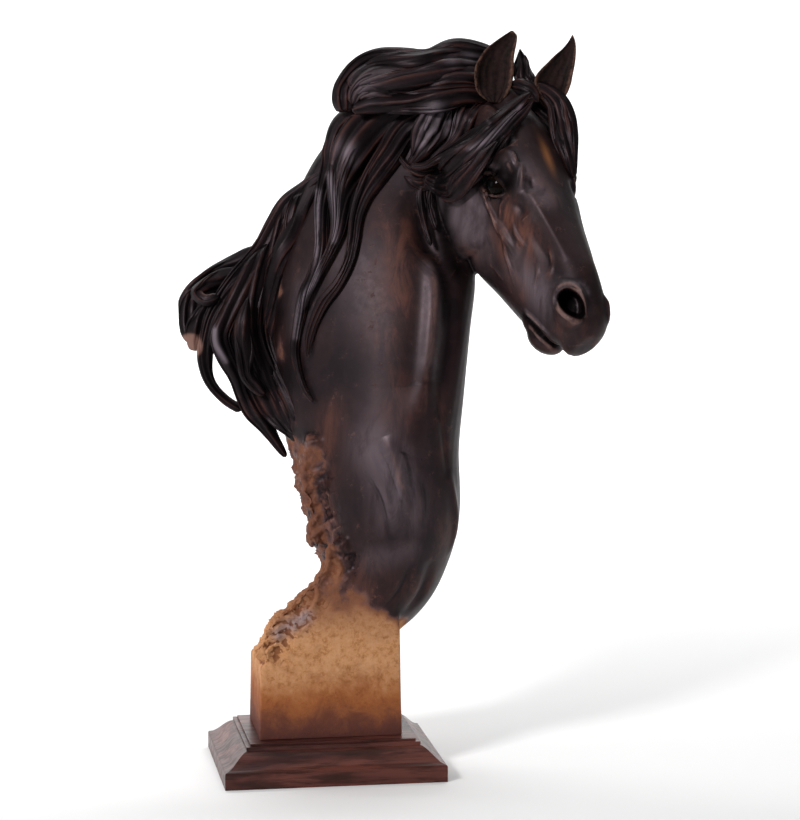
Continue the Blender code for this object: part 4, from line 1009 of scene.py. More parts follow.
LOCKS = (
    # the roll over the crest: its mass, then what lies on it
    (0.85, 0.02, ((506, 76, 12, 0.14), (480, 70, 18, 0.13), (450, 69, 23, 0.12), (420, 75, 24, 0.14),
        (390, 80, 25, 0.17), (366, 86, 20, 0.19), (352, 94, 14, 0.19))),
    (0.95, 0.02, ((500, 62, 9, 0.13), (480, 55, 12, 0.13), (455, 53, 14, 0.13), (430, 62, 14, 0.17),
        (405, 62, 15, 0.21), (380, 63, 15, 0.24), (359, 70, 13, 0.24), (345, 86, 11, 0.22),
        (344, 100, 12, 0.20), (346, 112, 8, 0.19))),
    (0.90, 0.02, ((496, 84, 10, 0.10), (466, 77, 13, 0.07), (440, 81, 14, 0.09), (415, 86, 14, 0.13),
        (390, 84, 14, 0.16), (369, 85, 12, 0.17), (357, 93, 9, 0.17), (352, 104, 5, 0.16))),
    (0.80, 0.02, ((500, 97, 10, 0.08), (470, 94, 11, 0.05), (440, 99, 12, 0.05), (415, 103, 11, 0.09),
        (392, 104, 10, 0.12), (370, 106, 8, 0.14), (352, 110, 5, 0.15))),
    # the broad fall on the near side of the neck
    (0.50, 0.03, ((432, 100, 16), (400, 114, 22), (375, 131, 26), (358, 151, 26), (347, 173, 21),
        (341, 194, 15), (339, 214, 10), (336, 234, 7), (329, 252, 5), (320, 270, 4), (311, 290, 3),
        (304, 310, 1))),
    (0.80, 0.02, ((400, 105, 14, 0.16), (366, 113, 15, 0.22), (344, 126, 14, 0.26),
        (335, 146, 12, 0.26), (332, 166, 10, 0.24), (326, 186, 8, 0.21), (322, 206, 7), (321, 228, 6),
        (320, 250, 6), (313, 275, 6), (305, 293, 6), (301, 312, 6), (297, 332, 5), (295, 352, 5),
        (299, 374, 4), (306, 392, 3), (313, 402, 2))),
    (0.55, 0.02, ((428, 112, 12), (405, 131, 14), (391, 153, 14), (375, 176, 12), (363, 197, 9),
        (356, 218, 7), (353, 240, 6), (348, 262, 5), (337, 284, 5), (323, 302, 6), (314, 322, 5),
        (309, 340, 4), (307, 357, 1))),
    # the mass blown back off the crest
    (0.80, 0.02, ((330, 170, 9, 0.27), (308, 189, 10, 0.30), (289, 205, 12, 0.32), (277, 225, 13, 0.33),
        (266, 246, 13, 0.33), (253, 263, 12, 0.32), (240, 279, 12, 0.31), (226, 298, 11, 0.30),
        (214, 318, 10, 0.29), (208, 338, 9, 0.28), (205, 356, 8, 0.27), (207, 374, 6, 0.26),
        (214, 388, 5, 0.25), (227, 401, 5, 0.24), (242, 410, 5, 0.22))),
    (0.80, 0.02, ((266, 246, 10, 0.37), (247, 259, 11, 0.38), (229, 269, 11, 0.39),
        (211, 279, 11, 0.39), (197, 290, 10, 0.38), (188, 303, 9, 0.37), (185, 318, 7, 0.35),
        (186, 332, 6, 0.33), (191, 342, 4, 0.31))),
    (0.80, 0.02, ((242, 270, 9, 0.34), (222, 278, 9, 0.34), (206, 285, 8, 0.33), (197, 293, 7, 0.31),
        (205, 300, 6, 0.28), (219, 297, 5, 0.27))),
    (0.75, 0.02, ((242, 270, 8, 0.37), (219, 286, 12, 0.38), (202, 302, 13, 0.37), (196, 320, 11, 0.35),
        (197, 338, 8, 0.33))),
    (0.75, 0.02, ((232, 288, 9, 0.33), (218, 302, 10, 0.33), (205, 313, 10, 0.33), (197, 326, 10, 0.32),
        (194, 340, 8, 0.31), (196, 351, 5, 0.31))),
    (0.75, 0.02, ((264, 248, 10, 0.31), (251, 274, 11, 0.28), (240, 296, 11, 0.26),
        (229, 316, 10, 0.25), (221, 336, 11, 0.24), (226, 355, 10, 0.23), (237, 376, 8, 0.22),
        (244, 395, 8, 0.21), (252, 410, 9, 0.20), (264, 424, 8, 0.19), (274, 439, 6, 0.18),
        (282, 451, 4, 0.17), (286, 457, 2, 0.17))),
    (0.75, 0.02, ((270, 242, 9, 0.31), (260, 270, 10, 0.28), (253, 300, 10, 0.26), (251, 326, 10, 0.24),
        (256, 348, 10, 0.23), (265, 370, 10, 0.21), (274, 390, 9, 0.19), (284, 410, 8, 0.17),
        (293, 426, 7, 0.14), (299, 440, 5, 0.12), (301, 452, 3, 0.11))),
    (0.75, 0.02, ((289, 206, 9, 0.31), (282, 232, 9, 0.30), (275, 258, 9, 0.29), (269, 286, 9, 0.28),
        (264, 308, 9, 0.27), (263, 330, 9, 0.26), (268, 350, 9, 0.24), (276, 368, 8, 0.21),
        (284, 386, 8, 0.17), (292, 404, 7, 0.13), (298, 422, 5, 0.10))),
    (0.70, 0.02, ((302, 192, 8, 0.29), (293, 214, 7, 0.27), (288, 240, 6, 0.25), (284, 262, 6, 0.23),
        (277, 280, 4, 0.23))),
    (0.70, 0.02, ((248, 298, 6, 0.20), (242, 328, 9, 0.18), (244, 354, 10, 0.17), (247, 375, 7, 0.16),
        (257, 388, 6, 0.15), (265, 395, 3, 0.15))),
    (0.90, 0.02, ((250, 360, 12, 0.24), (264, 388, 13, 0.21), (280, 412, 13, 0.18),
        (295, 432, 10, 0.14), (303, 445, 6, 0.10))),
    (0.90, 0.02, ((268, 290, 14, 0.34), (262, 330, 16, 0.32), (270, 370, 16, 0.26),
        (286, 405, 13, 0.19), (300, 430, 8, 0.13))),
    # behind the near ear: a smooth combed lock, a narrow one beside it and the curls that they meet in
    (0.55, 0.03, ((450, 98, 9), (438, 112, 15), (429, 130, 17), (422, 147, 12), (415, 158, 6),
        (408, 163, 3))),
    (0.60, 0.03, ((470, 98, 7), (463, 112, 7), (459, 128, 7), (452, 142, 5), (441, 152, 4),
        (430, 160, 3))),
    (0.60, 0.03, ((482, 104, 7), (472, 120, 8), (462, 138, 7), (448, 152, 5), (436, 162, 4),
        (421, 169, 3))),
    (0.70, 0.02, ((436, 170, 5), (422, 173, 5), (411, 169, 4), (403, 161, 3), (399, 154, 2))),
    (0.70, 0.02, ((436, 181, 5), (423, 185, 5), (413, 183, 4), (404, 176, 2))),
    # down the back of the jaw
    (0.80, 0.01, ((424, 172, 5), (420, 190, 4.5), (422, 210, 4), (426, 230, 3.5), (431, 246, 2.5))),
    (0.80, 0.01, ((434, 176, 4), (429, 194, 4), (431, 212, 3.5), (436, 230, 2.5))),
)

# Locks on the far side of the crest, which no path on the grid can show: share of the way up the
# neck where each one starts, how far down it runs and how far round.

FAR_LOCKS = (
    (0.95, 0.17, 1.05),
    (0.90, 0.20, 0.80),
    (0.85, 0.18, 1.00),
    (0.80, 0.21, 0.75),
    (0.75, 0.18, 0.95),
    (0.70, 0.20, 0.70),
    (0.65, 0.18, 0.90),
    (0.60, 0.19, 0.65),
    (0.55, 0.16, 0.80),
)

FORELOCK = (
    # swept to the near side over the brow, then down beside the far eye
    (0.42, 0.05, ((534, 98, 5), (518, 112, 9), (500, 130, 12), (482, 150, 16), (465, 168, 19),
        (450, 182, 17), (437, 184, 10), (424, 178, 5))),
    (0.60, 0.07, ((530, 93, 6), (511, 109, 7), (492, 124, 7), (473, 138, 7), (455, 149, 6),
        (440, 157, 5), (424, 166, 4), (410, 166, 3))),
    (0.45, 0.06, ((498, 140, 5), (482, 158, 8), (469, 174, 10), (458, 188, 10), (450, 197, 6),
        (441, 196, 3))),
    (0.60, 0.03, ((524, 84, 8, 0.00), (542, 90, 9, -0.02), (556, 102, 12, -0.04), (562, 118, 14, -0.06),
        (565, 134, 13, -0.09), (568, 150, 10, -0.12), (571, 164, 7, -0.14), (574, 178, 3, -0.15))),
    (0.50, 0.02, ((526, 88, 9, 0.06), (538, 102, 12, 0.07), (548, 116, 12, 0.05), (556, 131, 11, 0.00),
        (562, 146, 9, -0.05), (568, 160, 7, -0.10), (573, 174, 3, -0.13))),
    (0.50, 0.02, ((520, 49, 3, 0.06), (521, 58, 6, 0.05), (523, 68, 8, 0.03), (526, 79, 9, 0.01),
        (534, 90, 7, -0.01))),
    (0.60, 0.02, ((508, 84, 6, 0.03), (519, 86, 8, 0.0), (530, 92, 8, -0.03), (538, 102, 5, -0.05))),
)

# Where the furthest curl is broken off: column, row and radius on the grid.

BROKEN_END = (190, 346, 13)

# The parts of the mane: name, locks and the seed of their chances.

MANE_PARTS = (
    ("mane_roll", LOCKS[:4], 3),
    ("mane_near", LOCKS[4:7], 11),
    ("mane_blown", LOCKS[7:], 5),
    ("forelock", FORELOCK, 7),
)
CREST_SEED = 9
STRAND_WIDTH = 3.2 * MM
STRAND_DEPTH = 0.55
STRAND_CREST = 0.84
ROOT_RUN = 12 * MM
TIP_RUN = 3.5 * MM
LOCK_NUMBERS = 97
LOCK_STEP = 1.5 * MM
LOCK_RINGS = (14, 170)
LOCK_SIDES = (8, 40)
LOCK_STRANDS = (2, 4)
OVERLAY_STEPS = 30
THINNEST = 0.3 * MM
OVERLAY_THINNEST = 0.4 * MM

# Where highlights are painted on the hair: column and row on the grid, radius in squares,
# strength. The strands are paths of painted highlight that share a radius and a strength.

PAINTED_HAIR_HIGHLIGHTS = (
    ((433, 116), 11, 1.0),
    ((429, 130), 10, 1.0),
    ((422, 143), 7, 0.8),
    ((452, 118), 7, 0.9),
    ((449, 132), 6, 0.7),
    ((346, 150), 9, 0.8),
    ((350, 158), 7, 0.6),
    ((365, 88), 14, 0.4),
    ((470, 58), 8, 0.5),
    ((452, 62), 7, 0.4),
)
HIGHLIGHT_STRANDS = (
    ((318, 192), (317, 232), (316, 275), (301, 302), (296, 337)),
    ((329, 175), (334, 200), (336, 223), (334, 240)),
    ((470, 150), (490, 138), (508, 120), (520, 106)),
    ((214, 330), (216, 345), (226, 360)),
)
HIGHLIGHT_STRAND = (3.0, 0.8)
HIGHLIGHT_STEPS = 40

# Where a lock starts on the neck: share of the way up, angle from the throat to the near side.

NECK_STEPS = 101
NECK_GRID = np.array(neck_rings(NECK_STEPS))


def neck_place(share, angle, lift):
    """A point over the neck: share of the way up, angle from the throat to the near side, lift."""
    ring = NECK_GRID[int(round(share * (NECK_STEPS - 1)))]
    middle = ring.mean(axis=0)
    spot = ring[int(round(angle / (2 * math.pi) * NECK_SIDES)) % NECK_SIDES]
    return spot + (spot - middle) / np.linalg.norm(spot - middle) * lift * HEAD


def lock_points(tree, lift, path):
    """Centre points of a lock: on the body, or at the depth given, or at its neighbour's depth."""
    found = []
    for column, row, _, *depth in path:
        found.append(sighted(column, row, depth[0]) if depth else dropped(tree, column, row, lift))
    known = [i for i, point in enumerate(found) if point is not None]
    for i, point in enumerate(found):
        if point is None:
            nearest = min(known, key=lambda k: abs(k - i))
            found[i] = sighted(path[i][0], path[i][1], found[nearest][1] / HEAD)
    return np.array(found)


def highlight_share(column, row):
    """How strongly highlight is painted on the hair, by its patches and strands, at places on the grid.
    """
    patches = list(PAINTED_HAIR_HIGHLIGHTS)
    for path in HIGHLIGHT_STRANDS:
        patches += [(spot, *HIGHLIGHT_STRAND) for spot in eased(path, HIGHLIGHT_STEPS)]
    painted_highlight = np.zeros(len(column))
    for (across, down), radius, most in patches:
        near = (column - across) ** 2 + (row - down) ** 2
        painted_highlight = np.maximum(painted_highlight, most * np.exp(-near / radius**2))
    return painted_highlight


class Hair:
    """Locks gathered into one mesh, with marks on each point for its paint.

    tone is 1 on a strand's crest and 0 in the valley beside it. strand runs across the hairs, then
    along them, in millimetres, and ends with a number that differs from lock to lock.
    """

    def __init__(self, seed):
        self.chance = np.random.default_rng(seed)
        self.points, self.faces, self.tone, self.strand = [], [], [], []
        self.count = 0

    def lock(self, centre, half, flat, facing, strands, curl=0.35, fineness=1.0):
        """A tapering ribbon through points, its flat side turned to facing, carved into strands.

        A strand rises across its width and drops sharply to the next one, and wanders along the lock.
        """
        length = np.linalg.norm(np.diff(centre, axis=0), axis=1).sum()
        steps = int(np.clip(length / (LOCK_STEP * COARSER) * fineness, *LOCK_RINGS))
        sides = 2 * int(np.clip(strands * 8 / COARSER, *LOCK_SIDES))
        rows = eased(np.column_stack([centre, half]), steps)
        around = np.linspace(0, 2 * math.pi, sides, endpoint=False)
        place, upper = np.cos(around), np.sign(np.sin(around))
        phase = self.chance.uniform(0, 2 * math.pi, strands + 5)
        swing = self.chance.uniform(0.08, 0.30, strands + 1)
        rise = self.chance.uniform(0.35, 1.0, strands)
        lean = self.chance.choice((-1, 1))
        rings = []
        for i, (row, along) in enumerate(zip(rows, directions(rows[:, :3]))):
            t = i / (steps - 1)
            across, out = turned_to(facing, row[:3], along)
            turn = curl * math.sin(2.4 * math.pi * t + phase[-1]) * math.sin(math.pi * t)
            turned = math.cos(turn) * across + math.sin(turn) * out
            out = math.cos(turn) * out - math.sin(turn) * across
            run_in = min(t * length / ROOT_RUN, (1 - t) * length / TIP_RUN)
            size = max(row[3], THINNEST) * math.sin(math.pi / 2 * min(1.0, 0.08 + run_in)) ** 0.8
            # where the strands meet, how far across its strand each place is, and its crest
            wander = swing * np.sin(phase[: strands + 1] + 6.0 * t)
            edges = (np.arange(strands + 1) + wander) * 2 / strands - 1
            edges[0], edges[-1] = -1.001, 1.001
            which = np.clip(np.searchsorted(edges, lean * place, side="right") - 1, 0, strands - 1)
            part = (lean * place - edges[which]) / (edges[which + 1] - edges[which])
            crest = np.where(part < STRAND_CREST, part / STRAND_CREST, (1 - part) / 0.16)
            carved = STRAND_DEPTH * 2 / strands * rise[which] * (crest - 0.75) * (1 - place**4)
            uneven = 1 + 0.16 * np.sin(3 * place + phase[-2] + 3 * t)
            thick = flat * (1 - np.abs(place) ** 2.4) ** 0.8 * uneven
            ring = (place * (1 + 0.07 * np.sin(7 * t + phase[-3])))[:, None] * turned
            ring = ring + (upper * np.maximum(thick + carved, 0.02))[:, None] * out
            rings.append(row[:3] + ring * size)
            self.tone.append(crest)
            number = np.full(sides, self.count % LOCK_NUMBERS)
            hairs = (place * upper * row[3] / MM, np.full(sides, t * length / MM), number)
            self.strand.append(np.column_stack(hairs))
        self._add(rings)

    def _add(self, rings):
        rings = np.array(rings)
        steps, sides = rings.shape[:2]
        i, j = np.meshgrid(np.arange(steps - 1), np.arange(sides), indexing="ij")
        k = (j + 1) % sides
        corners = [i * sides + j, (i + 1) * sides + j, (i + 1) * sides + k, i * sides + k]
        quads = np.stack(corners, axis=-1)
        self.faces += (quads.reshape(-1, 4) + self.count).tolist()
        self.faces.append([self.count + n for n in range(sides)])
        self.faces.append([self.count + (steps - 1) * sides + n for n in reversed(range(sides))])
        self.points.append(rings.reshape(-1, 3))
        self.count += steps * sides

    def overlay(self, centre, half, flat, facing, count):
        """Narrow ribbons laid over a lock, each drifting across it and sinking in at both ends."""
        rows = eased(np.column_stack([centre, half]), OVERLAY_STEPS)
        tangent = np.gradient(rows[:, :3], axis=0)
        across = units(np.cross(tangent, facing - rows[:, :3]))
        out = units(np.cross(across, tangent))
        for side in np.linspace(-0.75, 0.75, count):
            first = int(self.chance.uniform(0, 0.25) * (OVERLAY_STEPS - 1))
            last = int(self.chance.uniform(0.75, 1.0) * (OVERLAY_STEPS - 1)) + 1
            part = rows[first:last]
            t = np.linspace(0, 1, len(part))
            drift = side + self.chance.uniform(-0.4, 0.4) * t
            drift = np.clip(drift + 0.15 * np.sin(5 * t + self.chance.uniform(0, 6)), -0.9, 0.9)
            lift = flat * (1 - np.abs(drift) ** 2.4) * (0.75 + 0.35 * np.sin(math.pi * t))
            line = part[:, :3] + (drift * part[:, 3])[:, None] * across[first:last]
            line += (lift * part[:, 3])[:, None] * out[first:last]
            drawn_in = 0.25 + 0.75 * np.sin(math.pi * t) ** 0.7
            thick = part[:, 3] * self.chance.uniform(0.22, 0.42) * drawn_in
            self.lock(line, np.maximum(thick, OVERLAY_THINNEST), 0.5, facing, 2, curl=0.5, fineness=0.8)

    def mesh(self, name):
        made = bpy.data.meshes.new(name)
        points = np.concatenate(self.points)
        made.from_pydata(points.tolist(), [], self.faces)
        outwards(made)
        column, row, _ = on_grid(points)
        across, down, radius = BROKEN_END
        away = np.hypot((column - across) / radius, (row - down) / radius)
        set_mark(made, "tone", np.concatenate(self.tone))
        set_mark(made, "broken", step(1.1, 0.8, away))
        set_mark(made, "strand", np.concatenate(self.strand))
        set_mark(made, "painted_highlight", highlight_share(column, row))
        made.shade_smooth()
        return made


def crest_hair(hair):
    """The roll of hair along the crest, and the short locks that lie back from it on the far side."""
    path = np.array([neck_place(share, math.pi, 0.0) for share in np.linspace(0.50, 1.0, 9)])
    half = HEAD * (0.030 + 0.028 * np.sin(np.linspace(0.3, 2.9, 9)))
    away = placed((NECK[6][0], NECK[6][1], 1.4))
    hair.lock(path, half, 1.0, 2 * path.mean(axis=0) - away, 6)
    for start, run, turn in FAR_LOCKS:
        path = []
        for t in np.linspace(0, 1, 6):
            angle = math.pi - 0.15 + turn * (t + 0.12 * math.sin(2 * math.pi * t))
            path.append(neck_place(start - run * t, angle, 0.035 - 0.025 * t * t))
        path = np.array(path)
        half = HEAD * 0.040 * (1 - np.linspace(0, 0.9, 6) ** 1.5)
        facing = path.mean(axis=0) + (path.mean(axis=0) - away) * 6
        hair.lock(path, half, 0.6, facing, 4)
        hair.overlay(path, half, 0.6, facing, 2)


def hair_meshes(tree):
    """The locks of each part of the mane, as meshes."""
    facing = viewpoint()
    square = VIEW_FAR / GRID * HEAD
    for name, rows, seed in MANE_PARTS:
        hair = Hair(seed)
        for flat, lift, path in rows:
            centre = lock_points(tree, lift, path)
            half = np.array([row[2] for row in path]) * square
            strands = int(np.clip(round(half.max() / STRAND_WIDTH), *LOCK_STRANDS))
            hair.lock(centre, half, flat, facing, strands)
            hair.overlay(centre, half, flat, facing, 2 + strands // 4)
        yield name, hair.mesh(name)
    hair = Hair(CREST_SEED)
    crest_hair(hair)
    yield "mane_crest", hair.mesh("mane_crest")


# Ears: hollow leaves between two edges on the grid.

EARS = (
    # left edge and right edge from foot to tip, depth of the foot and of the tip
    (
        ((489, 102), (479, 94), (475, 84), (475, 68), (480, 57), (488, 46), (497, 37), (505, 30),
         (511, 25)),
        ((499, 103), (507, 95), (512, 84), (514, 70), (514, 58), (516, 46), (517, 38), (517, 31),
         (513, 25)),
        (0.0, 0.02),
    ),
    (
        ((542, 100), (536, 88), (535, 78), (540, 70), (548, 62), (555, 55), (562, 49), (568, 42),
         (572, 35)),
        ((562, 100), (567, 94), (571, 84), (573, 74), (575, 64), (576, 54), (576, 46), (575, 40),
         (573, 35)),
        (-0.04, 0.0),
    ),
)
EAR_STEPS = 64
EAR_SIDES = 36


def ear(left, right, depths):
    """A thin leaf between two edges, cupped to the viewer, with folds in it and a mark on its rim."""
    edges = []
    for edge in (left, right):
        spots = zip(edge, np.linspace(*depths, len(edge)))
        edges.append(eased([sighted(column, row, far) for (column, row), far in spots], EAR_STEPS))
    middle, across = (edges[0] + edges[1]) / 2, (edges[1] - edges[0]) / 2
    back = np.linspace(0, math.pi, EAR_SIDES)
    front = np.linspace(math.pi, 0, EAR_SIDES)[1:-1]
    rings, rim = [], []
    for i in range(EAR_STEPS):
        t = i / (EAR_STEPS - 1)
        facing = np.cross(across[i], middle[min(i + 1, EAR_STEPS - 1)] - middle[max(i - 1, 0)])
        facing /= np.linalg.norm(facing)
        wide = np.linalg.norm(across[i])
        deep = wide * (0.85 - 0.25 * t)
        hollow = deep * 0.50 * step(0.02, 0.30, t)
        folds = 0.035 * np.sin(11 * front + 3 * t) * (1 - t)
        ring = [middle[i] + across[i] * math.cos(a) - facing * deep * math.sin(a) for a in back]
        for a, fold in zip(front, folds):
            cup = hollow * math.sin(a) + fold * wide
            ring.append(middle[i] + across[i] * 0.86 * math.cos(a) - facing * cup)
        rings.append(ring)
        edge = np.concatenate([np.abs(np.cos(back)), np.abs(np.cos(front))]) ** 9
        rim.append(np.maximum(edge, step(0.86, 1.0, t)))
    mesh = loft(rings)
    set_mark(mesh, "rim", np.concatenate(rim))
    mesh.shade_smooth()
    return mesh


# The plinth


def plinth_mesh():
    """Rings of the plinth's outline from its underside up: slab, ogee, step and top."""
    profile = [(0.0, 0.0), (0.0, SLAB_HEIGHT - SLAB_ROUND)]
    for a in np.linspace(0, math.pi / 2, 5)[1:]:
        profile.append((SLAB_ROUND * (1 - math.cos(a)), SLAB_HEIGHT - SLAB_ROUND * (1 - math.sin(a))))
    start, run = SLAB_ROUND, OGEE_RUN - SLAB_ROUND
    for t in np.linspace(0, 1, 10)[1:]:
        rise = 0.5 - 0.5 * math.cos(math.pi * t)
        profile.append((start + run * t, SLAB_HEIGHT + OGEE_HEIGHT * (0.35 * t + 0.65 * rise)))
    inset, height = profile[-1]
    profile.append((inset, height + STEP_HEIGHT))
    profile.append((inset + STEP_RUN, height + STEP_HEIGHT))
    profile.append((inset + STEP_RUN, PLINTH_HIGH[2]))
    rings = []
    for inset, height in profile:
        x, y = PLINTH_HIGH[0] - inset, PLINTH_HIGH[1] - inset
        rings.append([(sx * x, sy * y, height) for sx, sy in ((-1, -1), (1, -1), (1, 1), (-1, 1))])
    return loft(rings)


# Paint


class Paint:
    """A node material being put together: each call adds a node and gives back its output."""

    def __init__(self, name):
        self.material = bpy.data.materials.new(name)
        self.material.use_nodes = True
        self.tree = self.material.node_tree
        self.shader = self.tree.nodes["Principled BSDF"]

    def node(self, kind, settings, inputs, output):
        """A node with its settings, and its sockets linked to an output or set to a value."""
        made = self.tree.nodes.new(kind)
        for key, value in settings.items():
            setattr(made, key, value)
        for key, value in inputs.items():
            self.put(made.inputs[key], value)
        return made.outputs[output]

    def put(self, socket, value):
        if isinstance(value, bpy.types.NodeSocket):
            self.tree.links.new(value, socket)
        else:
            socket.default_value = value

    def mark(self, name, output="Fac"):
        return self.node("ShaderNodeAttribute", {"attribute_name": name}, {}, output)

    def place(self):
        return self.node("ShaderNodeTexCoord", {}, {}, "Object")

    def stretched(self, vector, scale):
        return self.node("ShaderNodeMapping", {}, {"Vector": vector, "Scale": scale}, "Vector")

    def noise(self, vector, scale, detail=4.0, rough=0.55, twist=0.0):
        inputs = {"Vector": vector, "Scale": scale, "Detail": detail}
        inputs |= {"Roughness": rough, "Distortion": twist}
        return self.node("ShaderNodeTexNoise", {}, inputs, "Fac")

    def ramp(self, value, low, high, start=0.0, end=1.0):
        inputs = {"Value": value, "From Min": low, "From Max": high, "To Min": start, "To Max": end}
        return self.node("ShaderNodeMapRange", {"interpolation_type": "SMOOTHSTEP"}, inputs, "Result")

    def sum(self, kind, first, second):
        return self.node("ShaderNodeMath", {"operation": kind}, {0: first, 1: second}, 0)

    def times(self, first, second):
        return self.sum("MULTIPLY", first, second)

    def plus(self, first, second):
        return self.sum("ADD", first, second)

    def most(self, first, second):
        return self.sum("MAXIMUM", first, second)

    def mix(self, share, first, second):
        inputs = {"Factor": share, "A": first, "B": second}
        return self.node("ShaderNodeMix", {"data_type": "RGBA"}, inputs, "Result")

    def layered(self, colour, *layers):
        """A colour with others over it: what each follows, from where to where, its most, itself."""
        for value, low, high, most, over in layers:
            colour = self.mix(self.ramp(value, low, high, 0.0, most), colour, over)
        return colour

    def relief(self, height, distance, strength, under=None):
        inputs = {"Height": height, "Distance": distance, "Strength": strength}
        if under is not None:
            inputs["Normal"] = under
        return self.node("ShaderNodeBump", {}, inputs, "Normal")

    def finish(self, colour, roughness, normal=None, **others):
        inputs = {"Base Color": colour, "Roughness": roughness}
        if normal is not None:
            inputs["Normal"] = normal
        inputs |= {key.replace("_", " "): value for key, value in others.items()}
        for key, value in inputs.items():
            self.put(self.shader.inputs[key], value)
        return self.material


def rgb(red, green, blue):
    return (red, green, blue, 1.0)


UMBER_BLACK = rgb(0.0034, 0.0022, 0.0028)
UMBER = rgb(0.0150, 0.0070, 0.0078)
UMBER_PALE = rgb(0.0280, 0.0150, 0.0165)
HAIR_BLACK = rgb(0.0032, 0.0024, 0.0030)
HAIR_UMBER = rgb(0.0110, 0.0062, 0.0074)
RUST = rgb(0.120, 0.044, 0.028)
BRUSHED = rgb(0.210, 0.128, 0.112)
BLOOM_SHEEN_GREY = rgb(0.138, 0.107, 0.122)
SAND = rgb(0.50, 0.232, 0.095)
SAND_PALE = rgb(0.60, 0.32, 0.165)
SAND_DARK = rgb(0.17, 0.055, 0.024)
FOOT_RED = rgb(0.105, 0.040, 0.036)
SAND_ORANGE = rgb(0.34, 0.110, 0.036)
BREAK_PINK = rgb(0.200, 0.110, 0.088)
BREAK_BROWN = rgb(0.210, 0.086, 0.050)
BREAK_DARK = rgb(0.085, 0.046, 0.046)
LILAC = rgb(0.36, 0.28, 0.29)
HAIR_HIGHLIGHT = rgb(0.185, 0.150, 0.175)
STAR = rgb(0.24, 0.095, 0.035)
SHEEN = rgb(1.0, 0.78, 0.86)
EAR_TAN = rgb(0.120, 0.062, 0.044)
SHADOW = rgb(0.0016, 0.0012, 0.0013)
HAIR_SHADOW = rgb(0.0020, 0.0016, 0.0018)
IRIS_DARK = rgb(0.0012, 0.0008, 0.0006)
IRIS_BROWN = rgb(0.0045, 0.0022, 0.0014)
PUPIL = rgb(0.001, 0.001, 0.001)
WOOD_DARK = rgb(0.044, 0.0142, 0.0130)
WOOD_RED = rgb(0.140, 0.043, 0.0320)
WOOD_GRAIN = rgb(0.018, 0.007, 0.005)
WOOD_PORES = rgb(0.010, 0.004, 0.003)
BACKDROP = rgb(0.84, 0.84, 0.84)
BACKDROP_PALE = rgb(0.88, 0.88, 0.88)


def bust_paint():
    """Umber paint rubbed through to rust on what stands out, with grey bloom, painted sheen and painted
    shade, sand on the torn edge and the block.
    """
    p = Paint("bust_paint")
    place = p.place()
    worn, bloom_and_sheen, warm, shade = (p.mark(name) for name in ("worn", "bloom_and_sheen", "warm", "shade"))
    patches = p.noise(place, 110, 7, 0.75, 0.3)
    near_sand = p.most(p.mark("sand"), p.ramp(p.mark("height"), 0.345, 0.315))
    sand = p.ramp(p.plus(near_sand, p.ramp(patches, 0.3, 0.7, -0.36, 0.36)), 0.24, 0.62)
    cloud = p.noise(place, 26, 6, 0.62, 0.6)
    fine = p.noise(place, 210, 5, 0.6)
    streaks = p.noise(p.stretched(place, (1.0, 1.0, 0.30)), 75, 6, 0.66, 0.8)
    # the dark coat: clouds of umber, a grey bloom with painted sheen, and rust where it is rubbed
    coat = p.mix(p.ramp(cloud, 0.36, 0.66), UMBER_BLACK, UMBER)
    coat = p.mix(p.ramp(patches, 0.46, 0.66, 0.0, 0.20), coat, UMBER_PALE)
    sheen_bloom = p.times(bloom_and_sheen, p.ramp(streaks, 0.30, 0.62, 0.35, 1.0))
    coat = p.mix(p.times(sheen_bloom, 0.8), coat, BLOOM_SHEEN_GREY)
    rub = p.times(p.ramp(worn, 0.50, 0.80), p.ramp(streaks, 0.36, 0.60, 0.2, 1.0))
    rub = p.times(rub, p.plus(p.times(warm, 0.8), 0.25))
    rub = p.most(rub, p.times(warm, p.ramp(streaks, 0.40, 0.66, 0.15, 0.9)))
    coat = p.mix(rub, coat, RUST)
    brushed = p.times(p.ramp(worn, 0.62, 0.90, 0.0, 0.55), p.ramp(streaks, 0.34, 0.60))
    coat = p.mix(brushed, coat, BRUSHED)
    coat = p.mix(p.mark("star"), coat, STAR)
    coat = p.mix(p.ramp(worn, 0.44, 0.26, 0.0, 0.9), coat, UMBER_BLACK)
    # painted shade in the mouth line, round the eye's corner, behind the jaw and inside the nostril
    coat = p.mix(shade, coat, SHADOW)
    # browner towards the sand
    brown = ((near_sand, 0.01, 0.40, 0.9, BREAK_DARK), (near_sand, 0.12, 0.55, 0.85, BREAK_BROWN))
    coat = p.layered(coat, *brown)
    stone = stone_colour(p, place, worn, bloom_and_sheen)
    stone = p.layered(stone, (near_sand, 0.96, 0.45, 0.85, BREAK_BROWN))
    colour = p.mix(sand, coat, stone)
    rough = p.plus(p.ramp(fine, 0.3, 0.7, 0.42, 0.47), p.times(sand, 0.25))
    rough = p.plus(rough, p.times(bloom_and_sheen, -0.12))
    bumps = p.relief(p.noise(place, 330, 4, 0.6), 0.00012, 0.14)
    bumps = p.relief(p.noise(place, 70, 5, 0.6), 0.0006, 0.08, bumps)
    bumps = p.relief(p.times(p.noise(place, 520, 4, 0.7), sand), 0.0006, 0.8, bumps)
    gloss = p.ramp(p.most(shade, p.times(sand, 0.8)), 0.0, 1.0, 0.24, 0.02)
    return p.finish(colour, rough, bumps, Specular_IOR_Level=gloss, Specular_Tint=SHEEN)


